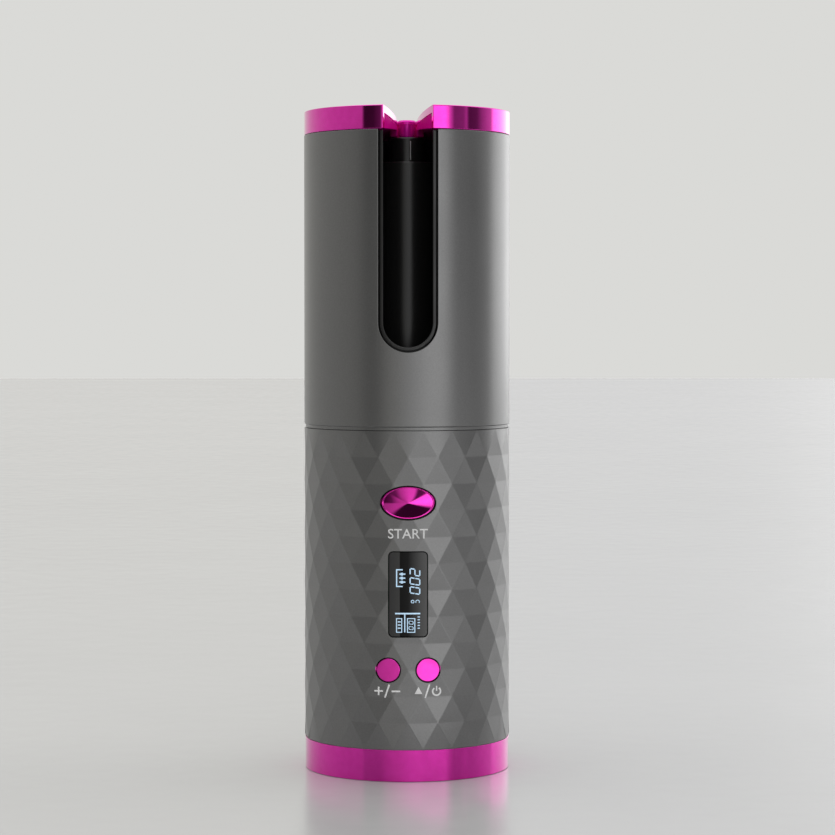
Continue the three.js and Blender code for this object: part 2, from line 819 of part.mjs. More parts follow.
// The disc on top of the sleeve, with a hub round the tip. Its entry, under the cap's, catches the hair.
function rotorClaw() {
  const hubBottom = insulatorTop + gap;
  const profile = [
    [clawHubBore, hubBottom],
    [clawHubRadius, hubBottom],
    [clawHubRadius, clawWebBottom],
    [clawRadius, sleeveTop + gap],
    [clawRadius, clawRimTop],
    [clawHubBore, clawHubTop],
  ];
  return cut(turned(profile, ringSegments), raised(entryOutline(), insulatorTop, bodyHeight, 6));
}

add("rotor_sleeve", rotorSleeve(), "blackPlastic");
add("rotor_claw", rotorClaw(), "chrome");

// ---------- barrel ----------
// Heat-resistant mount: a stem through the gears, a flange under the chamber and a cup round the barrel.
function barrelMount() {
  const cupInner = barrelRadius + gap;
  const cupOuter = cupInner + mountCupWall;
  const profile = [
    [wireBore, deckTop + gap],
    [mountStemRadius, deckTop + gap],
    [mountStemRadius, cupBottom],
    [mountFlangeRadius, cupBottom],
    [mountFlangeRadius, floorBottom - gap],
    [cupOuter, floorBottom - gap],
    [cupOuter, mountCupTop],
    [cupInner, mountCupTop],
    [cupInner, barrelBottom - gap],
    [wireBore, barrelBottom - gap],
  ];
  const pilots = mountScrews.map(([x, y]) =>
    rod(pilotRadius, deckTop, deckTop + mountScrewReach + 2 * gap, smallSegments, x, y),
  );
  return cut(turned(profile, innerSegments), ...pilots);
}

function chamberFloor() {
  const inner = barrelRadius + mountCupWall + 2 * gap;
  return tube(sleeveInner - gap, inner, floorBottom, floorTop, ringSegments);
}

// A tube with its top edge rounded off and turned in to the tip's stem.
function barrelTube() {
  const bore = barrelRadius - barrelWall;
  const neck = insulatorRadius + gap;
  const third = barrelEdge / 3;
  const profile = [
    [bore, barrelBottom],
    [barrelRadius, barrelBottom],
    [barrelRadius, barrelTop - barrelEdge],
    [barrelRadius - third, barrelTop - third],
    [barrelRadius - barrelEdge, barrelTop],
    [neck, barrelTop],
    [neck, barrelTop - barrelLip],
    [bore, barrelTop - barrelLip],
  ];
  return turned(profile, ringSegments);
}

// Half-round aluminium bars press the heater plate between them. The rear one is grooved for the sensor.
function heatSpreader(side) {
  const round = rod(barrelRadius - barrelWall - gap, heaterBottom, heaterTop, innerSegments);
  const near = heaterPlateHalf + gap;
  const low = heaterBottom - beyond;
  const high = heaterTop + beyond;
  if (side < 0) {
    return round.intersect(block([-barrelRadius, -barrelRadius, low], [barrelRadius, -near, high]));
  }
  const groove = rod(sensorRadius + gap, low, sensorTop + beyond, smallSegments, 0, sensorDepth);
  return cut(round.intersect(block([-barrelRadius, near, low], [barrelRadius, barrelRadius, high])), groove);
}

function tipInsulator() {
  const chamfer = 0.5;
  const flangeRadius = barrelRadius - barrelWall - gap;
  const shoulder = barrelTop - barrelLip - gap;
  const profile = [
    [insulatorBore, heaterTop + gap],
    [flangeRadius, heaterTop + gap],
    [flangeRadius, shoulder],
    [insulatorRadius, shoulder],
    [insulatorRadius, insulatorTop - chamfer],
    [insulatorRadius - chamfer, insulatorTop],
    [insulatorBore, insulatorTop],
  ];
  return turned(profile, innerSegments);
}

// The coloured end of the barrel: a pin into the insulator, a neck that widens upward and a head.
function barrelTip() {
  const chamfer = 0.4;
  const neckBottom = insulatorTop + gap;
  const profile = [
    [0, insulatorTop - tipPinLength],
    [tipPinRadius, insulatorTop - tipPinLength],
    [tipPinRadius, neckBottom],
    [tipNeckBottom, neckBottom],
    [tipNeckTop, tipHeadBottom],
    [tipHeadRadius, tipHeadBottom],
    [tipHeadRadius, tipTop - chamfer],
    [tipHeadRadius - chamfer, tipTop],
    [0, tipTop],
  ];
  return turned(profile, innerSegments);
}

function heaterPlate() {
  const low = [-heaterPlateHalfWidth, -heaterPlateHalf, heaterBottom + beyond];
  const high = [heaterPlateHalfWidth, heaterPlateHalf, heaterTop - 2 * beyond];
  return block(low, high);
}

function thermalSensor() {
  return rod(sensorRadius, sensorBottom, sensorTop, smallSegments, 0, sensorDepth);
}

// Leads rise from the board's connector, cross under the deck and run up the middle of the mount.
function barrelLead(connectorX, x, y, end) {
  const connector = { y: -19, top: 93.5 };
  const riser = { y: -18, z: 97 };
  const crossing = { y: -6, z: 102 };
  const mountEntry = 108;
  const mountMiddle = 116;
  return wire([
    [connectorX, connector.y, connector.top],
    [connectorX, riser.y, riser.z],
    [x, crossing.y, crossing.z],
    [x, y, mountEntry],
    [x, y, mountMiddle],
    [x, y, end],
  ]);
}

const heaterLeadEnd = heaterBottom + beyond - gap;
add("heater_lead_1", barrelLead(5.5, -2.4, 0, heaterLeadEnd), "rubber");
add("heater_lead_2", barrelLead(10.5, 2.4, 0, heaterLeadEnd), "rubber");
add("sensor_lead", barrelLead(8, 0, 3.2, heaterBottom - gap), "rubber");
add("barrel_mount", barrelMount(), "darkPlastic");
add("chamber_floor", chamberFloor(), "blackPlastic");
add("barrel_tube", barrelTube(), "ceramic");
add("heater_plate", heaterPlate(), "ceramic");
add("heat_spreader_front", heatSpreader(-1), "aluminium");
add("heat_spreader_rear", heatSpreader(1), "aluminium");
add("thermal_sensor", thermalSensor(), "glass");
add("tip_insulator", tipInsulator(), "blackPlastic");
add("barrel_tip", barrelTip(), "chrome");

// ---------- upper shells ----------
// The liner guides the rotor and fills the housing's slot with a raised rim.
function slotLiner() {
  const bottom = deckTop + gap;
  const wall = tube(linerOuter, linerInner, bottom, housingTop, ringSegments);
  const rimHalfWidth = slotHalfWidth - gap;
  const rimOutline = slotOutline(rimHalfWidth, slotBottom + gap, housingTop);
  const rimBand = tube(linerRimRadius, (linerInner + linerOuter) / 2, bottom, housingTop, ringSegments);
  const rim = through(rimOutline, -bodyRadius, -linerInner / 2, 8).intersect(rimBand);
  const margin = slotHalfWidth - linerSlotHalfWidth;
  const slot = slotOutline(linerSlotHalfWidth, slotBottom + margin, housingTop + beyond);
  return cut(joined(wall, rim), through(slot, -bodyRadius - beyond, -barrelRadius, 8));
}

function upperHousing() {
  const profile = [
    [housingBore, housingBottom],
    [bodyRadius - seamDepth, housingBottom],
    [bodyRadius - seamDepth, housingBottom + seamHeight],
    [bodyRadius, housingBottom + seamHeight],
    [bodyRadius, housingTop],
    [housingBore, housingTop],
  ];
  const slot = slotOutline(slotHalfWidth, slotBottom, housingTop + beyond);
  return cut(turned(profile, shellSegments), through(slot, -bodyRadius - beyond, -barrelRadius, 8));
}

// The bright cap: a skirt that continues the body and a dished plate over the rotor.
function topCap() {
  const rimWidth = 1;
  const profile = [
    [capSkirtInner, capBottom],
    [bodyRadius, capBottom],
    [bodyRadius, bodyHeight - gap],
    [bodyRadius - gap, bodyHeight],
    [bodyRadius - rimWidth, bodyHeight],
    [capHoleRadius, capHoleTop],
    [capHoleRadius, capHoleBottom],
    [capSkirtInner, capFieldBottom],
  ];
  const entry = raised(entryOutline(), capBottom - beyond, bodyHeight + beyond, 6);
  return cut(turned(profile, shellSegments), entry);
}

add("slot_liner", slotLiner(), "blackPlastic");
add("upper_housing", upperHousing(), "satinGrey");
add("top_cap", topCap(), "chrome");

export default curler;
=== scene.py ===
"""Visual model of the automatic hair curler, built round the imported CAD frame.

Shapes are written in millimetres and scaled to metres when a mesh is made.
The frame has +Z up the long axis and the slot and keys facing -Y.
"""
import json
import math

import bmesh
import bpy
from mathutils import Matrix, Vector


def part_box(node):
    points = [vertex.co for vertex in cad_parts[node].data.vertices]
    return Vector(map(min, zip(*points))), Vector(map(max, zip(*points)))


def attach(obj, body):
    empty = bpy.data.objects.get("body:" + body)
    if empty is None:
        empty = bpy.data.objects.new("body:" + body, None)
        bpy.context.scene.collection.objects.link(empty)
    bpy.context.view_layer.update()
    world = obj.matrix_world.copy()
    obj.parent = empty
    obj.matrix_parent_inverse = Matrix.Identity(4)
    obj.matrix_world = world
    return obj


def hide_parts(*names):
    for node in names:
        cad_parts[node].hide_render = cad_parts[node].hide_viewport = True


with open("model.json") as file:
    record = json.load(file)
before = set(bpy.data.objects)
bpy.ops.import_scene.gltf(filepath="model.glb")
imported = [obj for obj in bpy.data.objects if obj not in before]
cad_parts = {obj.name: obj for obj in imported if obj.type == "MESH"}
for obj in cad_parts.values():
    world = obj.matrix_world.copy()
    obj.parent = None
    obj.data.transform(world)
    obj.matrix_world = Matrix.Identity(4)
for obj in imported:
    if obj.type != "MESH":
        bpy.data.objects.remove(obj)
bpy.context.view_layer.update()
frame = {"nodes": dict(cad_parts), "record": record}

MM = 0.001

# ---------- sizes read from the frame ----------


def corners(node):
    """The lowest and highest corner of a CAD node, in millimetres."""
    low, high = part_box(node)
    return low / MM, high / MM


_, housing_high = corners("upper_housing")
handle_low, handle_high = corners("handle_shell")
cap_low, cap_high = corners("top_cap")
_, ring_high = corners("base_ring")
_, plate_high = corners("base_plate")
foot_low, foot_high = corners("rubber_foot")
liner_low, liner_high = corners("slot_liner")
sleeve_low, sleeve_high = corners("rotor_sleeve")
claw_low, claw_high = corners("rotor_claw")
floor_low, floor_high = corners("chamber_floor")
barrel_low, barrel_high = corners("barrel_tube")
insulator_low, insulator_high = corners("tip_insulator")
tip_low, tip_high = corners("barrel_tip")

body_radius = housing_high.x
ring_radius = ring_high.x
liner_radius = liner_high.x
sleeve_radius = sleeve_high.x
barrel_radius = barrel_high.x
tip_radius = tip_high.x

# ---------- sizes the boxes don't give ----------
gap = 0.3  # between neighbouring pieces, as in the frame
hairline = 0.08  # where two outer pieces look closed up
overcut = 1.0  # how far a cutter reaches past the piece it cuts
handle_bore = 29.6
housing_bore = 29.9
liner_bore = 27.2
liner_rim_radius = -liner_low.y
sleeve_bore = 25.3
seam_height = 0.95
seam_depth = 0.4

facet_columns = 22
facet_rows = 12

barrel_lip = 1.4
mount_wall = 2.0
insulator_radius = 5.6
cap_skirt_inner = 30.4
cap_hole_radius = 4.2
cap_hole_top, cap_hole_bottom = 201.6, 199.5
cap_field_bottom = 201.5
claw_hub_radius, claw_hub_bore = 5.3, 3.6
claw_hub_top, claw_web_bottom = 199.15, 198.2

slot_half_width = 9.0
slot_bottom = 129.66
liner_slot_half_width = 7.47
sleeve_slot_half_width = 8.2

key_face = 31.75
flange_margin = 0.85
key_clearance = 0.32
window_face = 31.8
window_corner = 1.2
window_flange = 1.2
mark_line, thin_line = 0.36, 0.22

round_segments = 192
small_segments = 64

# ---------- outlines ----------


def arc(centre, radius, start, end, steps):
    """Points on an arc, both ends included; angles in degrees."""
    points = []
    for step in range(steps + 1):
        angle = math.radians(start + (end - start) * step / steps)
        points.append((centre[0] + radius * math.cos(angle), centre[1] + radius * math.sin(angle)))
    return points


def ellipse(half_width, half_height, centre):
    """Points round an ellipse, anticlockwise."""
    points = []
    for step in range(small_segments):
        angle = 2 * math.pi * step / small_segments
        points.append((centre[0] + half_width * math.cos(angle), centre[1] + half_height * math.sin(angle)))
    return points


def rounded(outline, steps=4):
    """A closed outline whose corners (x, y, fillet radius) are rounded off; a fillet of 0 stays sharp."""
    points = []
    count = len(outline)
    for i, (x, y, fillet) in enumerate(outline):
        here = Vector((x, y))
        if fillet == 0:
            points.append((x, y))
            continue
        back = (Vector(outline[i - 1][:2]) - here).normalized()
        ahead = (Vector(outline[(i + 1) % count][:2]) - here).normalized()
        half = back.angle(ahead) / 2
        centre = here + (back + ahead).normalized() * (fillet / math.sin(half))
        first = here + back * (fillet / math.tan(half)) - centre
        turn = math.pi - 2 * half
        if back.x * ahead.y - back.y * ahead.x > 0:
            turn = -turn
        for step in range(steps + 1):
            angle = turn * step / steps
            cos, sin = math.cos(angle), math.sin(angle)
            across = centre.x + first.x * cos - first.y * sin
            up = centre.y + first.x * sin + first.y * cos
            points.append((across, up))
    return points


def rectangle(width, height, fillet, centre):
    """A rounded rectangle, anticlockwise from its lower left corner."""
    x, y = centre
    right, top = width / 2, height / 2
    corner_list = [(x - right, y - top), (x + right, y - top), (x + right, y + top), (x - right, y + top)]
    return rounded([(*corner, fillet) for corner in corner_list])


def slot_outline(half_width, bottom, top):
    """Straight sides down from the top to a half-round bottom."""
    steps = 40
    foot = arc((0, bottom + half_width), half_width, 180, 360, steps)
    return [(half_width, top), (-half_width, top)] + foot


# ---------- meshes ----------


def turned(profile, segments=round_segments, centre=(0, 0)):
    """A closed (radius, height) profile turned round the Z axis, or round an axis at a centre in plan."""
    mesh = bmesh.new()
    rings = []
    for radius, height in profile:
        if radius == 0:
            rings.append([mesh.verts.new((centre[0], centre[1], height))])
            continue
        ring = []
        for step in range(segments):
            angle = 2 * math.pi * step / segments
            ring.append(
                mesh.verts.new(
                    (centre[0] + radius * math.sin(angle), centre[1] - radius * math.cos(angle), height)
                )
            )
        rings.append(ring)
    for i, ring in enumerate(rings):
        following = rings[(i + 1) % len(rings)]
        if len(ring) == 1 and len(following) == 1:
            continue
        for step in range(segments):
            after = (step + 1) % segments
            corner_list = [
                ring[step % len(ring)],
                ring[after % len(ring)],
                following[after % len(following)],
                following[step % len(following)],
            ]
            mesh.faces.new(list(dict.fromkeys(corner_list)))
    bmesh.ops.recalc_face_normals(mesh, faces=mesh.faces)
    return mesh


def prism(outline, place):
    """A prism between two ends. place(x, y, end) gives the corner of outline point (x, y) at end 0 or 1."""
    mesh = bmesh.new()
    ends = [[mesh.verts.new(place(x, y, end)) for x, y in outline] for end in (0, 1)]
    mesh.faces.new(ends[0][::-1])
    mesh.faces.new(ends[1])
    for i in range(len(outline)):
        after = (i + 1) % len(outline)
        mesh.faces.new([ends[0][i], ends[0][after], ends[1][after], ends[1][i]])
    bmesh.ops.recalc_face_normals(mesh, faces=mesh.faces)
    return mesh


def upright(outline, bottom, top):
    """A prism standing on a plan outline."""
    return prism(outline, lambda x, y, end: (x, y, top if end else bottom))


def through(outline, front, back):
    """A prism running front to back, its outline as seen from the front."""
    return prism(outline, lambda x, z, end: (x, back if end else front, z))


def as_object(name, mesh):
    """Makes a mesh into an object of the scene."""
    data = bpy.data.meshes.new(name)
    mesh.to_mesh(data)
    mesh.free()
    shape = bpy.data.objects.new(name, data)
    bpy.context.scene.collection.objects.link(shape)
    return shape


def baked(shape):
    """Turns an object's modifiers into its mesh."""
    graph = bpy.context.evaluated_depsgraph_get()
    data = bpy.data.meshes.new_from_object(shape.evaluated_get(graph))
    shape.modifiers.clear()
    shape.data = data


def combined(shape, mesh, operation="DIFFERENCE"):
    """Cuts a mesh from an object, or keeps only what they share."""
    tool = as_object("tool", mesh)
    change = shape.modifiers.new("change", "BOOLEAN")
    change.solver = "EXACT"
    change.operation = operation
    change.object = tool
    baked(shape)
    bpy.data.objects.remove(tool)


def softened(shape, width, segments=2):
    """Rounds the sharp edges of an object by a width in millimetres."""
    sharpest_kept = 40
    bevel = shape.modifiers.new("bevel", "BEVEL")
    bevel.width = width
    bevel.segments = segments
    bevel.limit_method = "ANGLE"
    bevel.angle_limit = math.radians(sharpest_kept)
    bevel.use_clamp_overlap = False
    baked(shape)


def piece(shape, body, material, replaces=(), sharp_angle=32):
    """Scales a finished shape to metres, shades it, and sets it on its body."""
    for vertex in shape.data.vertices:
        vertex.co *= MM
    shape.data.shade_smooth()
    shape.data.set_sharp_from_angle(angle=math.radians(sharp_angle))
    even = shape.modifiers.new("even_normals", "WEIGHTED_NORMAL")
    even.keep_sharp = True
    even.weight = 100
    baked(shape)
    shape.data.materials.clear()
    shape.data.materials.append(material)
    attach(shape, body)
    if replaces:
        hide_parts(*replaces)


# ---------- materials ----------

# Nearly all of the noise lies between these values.
NOISE_LOW, NOISE_HIGH = 0.3, 0.7


def new_material(name, colour, roughness, metallic=0.0, **sockets):
    """A Principled material, with the sockets that are the same all over set on the shader itself."""
    material = bpy.data.materials.new(name)
    material.use_nodes = True
    shader = material.node_tree.nodes["Principled BSDF"]
    shader.inputs["Base Color"].default_value = (*colour, 1)
    shader.inputs["Roughness"].default_value = roughness
    shader.inputs["Metallic"].default_value = metallic
    for socket, value in sockets.items():
        shader.inputs[socket.replace("_", " ")].default_value = value
    return material


def noise(material, scale, detail, stretch=(1, 1, 1)):
    """Noise over the object's own space, as a value from 0 to 1; scale counts the waves in a metre."""
    tree = material.node_tree
    place = tree.nodes.new("ShaderNodeTexCoord")
    mapping = tree.nodes.new("ShaderNodeMapping")
    mapping.inputs["Scale"].default_value = stretch
    texture = tree.nodes.new("ShaderNodeTexNoise")
    texture.inputs["Scale"].default_value = scale
    texture.inputs["Detail"].default_value = detail
    tree.links.new(place.outputs["Object"], mapping.inputs["Vector"])
    tree.links.new(mapping.outputs["Vector"], texture.inputs["Vector"])
    return texture.outputs["Fac"]


def fill_ramp(ramp, stops):
    """Sets a colour ramp's stops, each a position and a colour, from the lowest position up."""
    elements = ramp.color_ramp.elements
    while len(elements) < len(stops):
        elements.new(0.5)
    for element, (position, colour) in zip(elements, stops):
        element.position = position
        element.color = (*colour, 1)


def vary_colour(material, source, low, high):
    """The base colour runs between two colours with the noise."""
    tree = material.node_tree
    ramp = tree.nodes.new("ShaderNodeValToRGB")
    fill_ramp(ramp, [(NOISE_LOW, low), (NOISE_HIGH, high)])
    tree.links.new(source, ramp.inputs["Fac"])
    tree.links.new(ramp.outputs["Color"], tree.nodes["Principled BSDF"].inputs["Base Color"])


def vary_roughness(material, source, low, high):
    """The roughness runs between two values with the noise."""
    tree = material.node_tree
    spread = tree.nodes.new("ShaderNodeMapRange")
    spread.inputs["From Min"].default_value = NOISE_LOW
    spread.inputs["From Max"].default_value = NOISE_HIGH
    spread.inputs["To Min"].default_value = low
    spread.inputs["To Max"].default_value = high
    tree.links.new(source, spread.inputs["Value"])
    tree.links.new(spread.outputs["Result"], tree.nodes["Principled BSDF"].inputs["Roughness"])


def add_bump(material, source, height):
    """Relief from the noise; height in millimetres."""
    tree = material.node_tree
    bump = tree.nodes.new("ShaderNodeBump")
    bump.inputs["Distance"].default_value = height * MM
    tree.links.new(source, bump.inputs["Height"])
    tree.links.new(bump.outputs["Normal"], tree.nodes["Principled BSDF"].inputs["Normal"])


def textured(name, low, high, roughness, metallic=0.0, grain=900, relief=0.01, stretch=(1, 1, 1), **sockets):
    """A material whose colour and roughness drift gently, over a fine grain."""
    material = new_material(name, low, roughness[0], metallic, **sockets)
    drift_scale, drift_detail, fine_detail = 60, 2, 4
    drift = noise(material, drift_scale, drift_detail)
    fine = noise(material, grain, fine_detail, stretch)
    vary_colour(material, fine, low, high)
    vary_roughness(material, drift, *roughness)
    add_bump(material, fine, relief)
    return material


def shade(value):
    """A neutral grey."""
    return (value, value, value)


magenta_chrome = textured(
    "magenta_chrome",
    (0.76, 0.016, 0.42),
    (0.82, 0.022, 0.47),
    (0.05, 0.08),
    metallic=1.0,
    grain=500,
    relief=0.0004,
    Coat_Weight=0.7,
    Coat_Roughness=0.03,
)
magenta_lacquer = textured(
    "magenta_lacquer",
    (0.80, 0.005, 0.33),
    (0.86, 0.006, 0.37),
    (0.30, 0.38),
    grain=500,
    relief=0.001,
    IOR=1.02,
)
magenta_gloss = textured(
    "magenta_gloss",
    (0.76, 0.010, 0.44),
    (0.82, 0.012, 0.48),
    (0.16, 0.20),
    metallic=0.35,
    grain=500,
    relief=0.001,
    Specular_IOR_Level=0.3,
)
satin_grey = textured(
    "satin_grey", shade(0.185), shade(0.210), (0.285, 0.31), metallic=0.72, grain=2500, relief=0.0012
)
black_liner = textured("black_liner", shade(0.008), shade(0.012), (0.28, 0.36), grain=2500, relief=0.002)
ceramic_black = textured("ceramic_black", shade(0.010), shade(0.016), (0.285, 0.33), grain=4000, relief=0.002)
dark_plastic = textured("dark_plastic", shade(0.020), shade(0.030), (0.45, 0.60), grain=2500, relief=0.01)
component_black = textured(
    "component_black", shade(0.012), shade(0.022), (0.40, 0.55), grain=1800, relief=0.006
)
foot_rubber = textured("foot_rubber", shade(0.014), shade(0.024), (0.75, 0.90), grain=3500, relief=0.02)
wire_sleeve = textured("wire_sleeve", shade(0.030), shade(0.045), (0.55, 0.70), grain=1200, relief=0.005)
# Dark glass; painted reflection bands are put into its colour further down.
display_glass = textured(
    "display_glass",
    shade(0.004),
    shade(0.006),
    (0.03, 0.06),
    grain=300,
    relief=0.0002,
    Specular_IOR_Level=0.15,
)
aluminium = textured(
    "aluminium",
    shade(0.55),
    shade(0.66),
    (0.30, 0.42),
    metallic=1.0,
    grain=500,
    relief=0.004,
    stretch=(1, 1, 12),
)
steel = textured("steel", shade(0.45), shade(0.56), (0.285, 0.40), metallic=1.0, grain=700, relief=0.002)
circuit_board = textured(
    "circuit_board", (0.008, 0.075, 0.030), (0.016, 0.120, 0.050), (0.35, 0.50), grain=260, relief=0.01
)
white_acetal = textured("white_acetal", (0.70, 0.68, 0.62), (0.78, 0.76, 0.71), (0.40, 0.52), grain=900)
cell_wrap = textured("cell_wrap", (0.020, 0.120, 0.350), (0.035, 0.150, 0.400), (0.28, 0.38), grain=300)
print_white = textured("print_white", shade(0.84), shade(0.92), (0.45, 0.60), grain=2500, relief=0.003)
heater_ceramic = textured("heater_ceramic", shade(0.45), shade(0.55), (0.50, 0.65), grain=1500)
thermal_glass = textured("thermal_glass", (0.20, 0.08, 0.02), (0.30, 0.12, 0.03), (0.08, 0.14), grain=400)
display_light = textured(
    "display_light",
    (0.30, 0.42, 0.55),
    (0.36, 0.50, 0.62),
    (0.30, 0.40),
    grain=800,
    Emission_Color=(0.55, 0.78, 1.0, 1),
    Emission_Strength=0.55,
)


def paint_display_reflection():
    """Painted reflection on the glass: its colour is lighter at its left edge and toward its right edge, dark
    between.
    """
    tree = display_glass.node_tree
    place = tree.nodes.new("ShaderNodeTexCoord")
    parts = tree.nodes.new("ShaderNodeSeparateXYZ")
    across = tree.nodes.new("ShaderNodeMapRange")
    across.inputs["From Min"].default_value = (window_centre[0] - window_half[0]) * MM
    across.inputs["From Max"].default_value = (window_centre[0] + window_half[0]) * MM
    ramp = tree.nodes.new("ShaderNodeValToRGB")
    # Painted reflection: the light and dark bands the glass would mirror, set as its base colour.
    reflection_bands = [(0.0, 0.045), (0.27, 0.060), (0.29, 0.001), (0.50, 0.002), (0.85, 0.085), (1.0, 0.110)]
    fill_ramp(ramp, [(position, shade(level)) for position, level in reflection_bands])
    tree.links.new(place.outputs["Object"], parts.inputs["Vector"])
    tree.links.new(parts.outputs["X"], across.inputs["Value"])
    tree.links.new(across.outputs["Result"], ramp.inputs["Fac"])
    tree.links.new(ramp.outputs["Color"], tree.nodes["Principled BSDF"].inputs["Base Color"])


slot_material = {
    "magenta_chrome": magenta_chrome,
    "satin_grey": satin_grey,
    "black_liner": black_liner,
    "dark_plastic": dark_plastic,
    "black_component": component_black,
    "display_glass": display_glass,
    "thermal_glass": thermal_glass,
    "foot_rubber": foot_rubber,
    "ceramic_barrel": ceramic_black,
    "heater_ceramic": heater_ceramic,
    "wire_sleeve": wire_sleeve,
    "aluminium": aluminium,
    "steel": steel,
    "circuit_board": circuit_board,
    "white_acetal": white_acetal,
    "cell_wrap": cell_wrap,
}


def finish_cad_nodes():
    """Every CAD node takes the procedural finish of its material slot."""
    for part in frame["record"]["subparts"]:
        data = frame["nodes"][part["node"]].data
        data.materials.clear()
        data.materials.append(slot_material[part["material_slot"]])


# ---------- base ----------


def base_ring():
    """The bright ring round the foot of the handle."""
    edge = 0.1
    bore = plate_high.x + gap
    bottom, top = hairline, handle_low.z - hairline
    outside = [(ring_radius, bottom, edge), (ring_radius, top, edge)]
    profile = rounded([(bore, bottom, 0), *outside, (bore, top, 0)])
    shape = as_object("ring_of_the_base", turned(profile))
    piece(shape, "body", magenta_chrome, ["base_ring"])


def foot_pad():
    """A rubber ring with rounded edges and two shallow grooves to grip the table."""
    inner, outer = 22.0, foot_high.x
    groove = 0.35
    third = (outer - inner) / 3
    low, high = foot_low.z, foot_high.z
    profile = [(inner, high, 0), (inner, low, 0.3)]
    for middle in (inner + third, outer - third):
        profile += [
            (middle - groove, low, 0.1),
            (middle - groove / 2, low + groove, 0.1),
            (middle + groove / 2, low + groove, 0.1),
            (middle + groove, low, 0.1),
        ]
    profile += [(outer, low, 0.3), (outer, high, 0)]
    shape = as_object("foot_pad", turned(rounded(profile, 2)))
    piece(shape, "body", foot_rubber, ["rubber_foot"])


# ---------- handle ----------


def facet_corner(row, column):
    """A corner of the facet lattice. Every other row has a corner facing the front."""
    turn = 0.5 if row % 2 == 0 else 0.0
    angle = (column + turn) * 2 * math.pi / facet_columns
    height = handle_low.z + row * (handle_high.z - handle_low.z) / facet_rows
    return body_radius * math.sin(angle), -body_radius * math.cos(angle), height


def faceted_bar():
    """The handle's outside as one closed bar, its ridges rounded, flush with the base ring at its foot."""
    ridge_width = 0.22
    mesh = bmesh.new()
    rows = [
        [mesh.verts.new(facet_corner(row, column)) for column in range(facet_columns)]
        for row in range(facet_rows + 1)
    ]
    for row in range(facet_rows):
        lower, upper = rows[row], rows[row + 1]
        for column in range(facet_columns):
            after = (column + 1) % facet_columns
            if row % 2 == 0:
                mesh.faces.new([lower[column], lower[after], upper[after]])
                mesh.faces.new([lower[column], upper[after], upper[column]])
            else:
                mesh.faces.new([lower[column], lower[after], upper[column]])
                mesh.faces.new([lower[after], upper[after], upper[column]])
    ridges = [edge for edge in mesh.edges if edge.is_manifold]
    mesh.faces.new(rows[0][::-1])
    mesh.faces.new(rows[-1])
    bmesh.ops.bevel(
        mesh, geom=ridges, offset=ridge_width, offset_type="OFFSET", segments=2, profile=0.5, affect="EDGES"
    )
    # Rounding spills past the bar's two ends and past the ring below, so those corners are brought back.
    for vertex in mesh.verts:
        vertex.co.z = min(max(vertex.co.z, handle_low.z), handle_high.z)
        reach = vertex.co.xy.length
        if vertex.co.z < handle_low.z + ridge_width and reach > ring_radius:
            vertex.co.xy *= ring_radius / reach
    bmesh.ops.recalc_face_normals(mesh, faces=mesh.faces)
    return mesh


def key_place(node, margin=flange_margin):
    """Centre and half sizes of a key's face, from its CAD box, which its flange widens by a margin."""
    low, high = corners(node)
    centre = (low.x + high.x) / 2, (low.z + high.z) / 2
    half = (high.x - low.x) / 2 - margin, (high.z - low.z) / 2 - margin
    return centre, half


start_centre, start_half = key_place("start_button")
temperature_centre, round_half = key_place("temperature_button")
power_centre, _ = key_place("power_button")
window_centre, window_half = key_place("display_window", window_flange)


def window_outline(margin):
    """The window's face from the front, widened by a margin."""
    width, length = (2 * (half + margin) for half in window_half)
    return rectangle(width, length, window_corner + margin, window_centre)


def key_outline(centre, half, margin):
    """A key's face from the front, widened by a margin."""
    return ellipse(half[0] + margin, half[1] + margin, centre)


def handle_shell():
    """The faceted grip: the bar bored out, and opened for the controls."""
    bore_low, bore_high = handle_low.z - overcut, handle_high.z + overcut
    bore = turned([(0, bore_low), (handle_bore, bore_low), (handle_bore, bore_high), (0, bore_high)])
    shape = as_object("grip", faceted_bar())
    combined(shape, bore)
    front, back = -body_radius - overcut, -handle_bore / 2
    combined(shape, through(key_outline(start_centre, start_half, key_clearance), front, back))
    combined(shape, through(window_outline(gap), front, back))
    for centre in (temperature_centre, power_centre):
        combined(shape, through(key_outline(centre, round_half, key_clearance), front, back))
    piece(shape, "body", satin_grey, ["handle_shell"], sharp_angle=60)
    return shape


# ---------- keys and display ----------


def on_cylinder(x, radius):
    """The y of the front of an upright cylinder at a distance x from its middle."""
    return -math.sqrt(radius * radius - x * x)


def key_cap(key, centre, half, relief):
    """A key's cap as rings of points from its middle out to its rim, then down its side.

    relief(radius share) is how far the face stands behind the cylinder that it follows.
    """
    flange_front, flange_back = -27.3, -26.5
    face_rings, rim_start = 18, 0.90
    rim_rings, rim_step = 10, 0.01
    shares = [i / face_rings * rim_start for i in range(1, face_rings + 1)]
    shares += [rim_start + i * rim_step for i in range(1, rim_rings + 1)]
    mesh = bmesh.new()

    def ring_at(share, y_of):
        """Points round the key at a share of its size, y_of(x) giving how far forward each one stands."""
        return [mesh.verts.new((x, y_of(x), z)) for x, z in ellipse(half[0] * share, half[1] * share, centre)]

    middle = mesh.verts.new((centre[0], on_cylinder(centre[0], key_face) + relief(0), centre[1]))
    rings = [ring_at(share, lambda x, s=share: on_cylinder(x, key_face) + relief(s)) for share in shares]
    rings.append(ring_at(1.0, lambda x: flange_front))
    flange_share = 1 + flange_margin / half[0]
    rings.append(ring_at(flange_share, lambda x: flange_front))
    rings.append(ring_at(flange_share, lambda x: flange_back))
    for i in range(small_segments):
        after = (i + 1) % small_segments
        mesh.faces.new([middle, rings[0][i], rings[0][after]])
        for inner, outer in zip(rings, rings[1:]):
            mesh.faces.new([inner[i], outer[i], outer[after], inner[after]])
    mesh.faces.new(rings[-1])
    bmesh.ops.recalc_face_normals(mesh, faces=mesh.faces)
    cap = as_object(f"{key}_key_cap", mesh)
    piece(cap, f"{key}_key", magenta_chrome, [f"{key}_button"], sharp_angle=50)


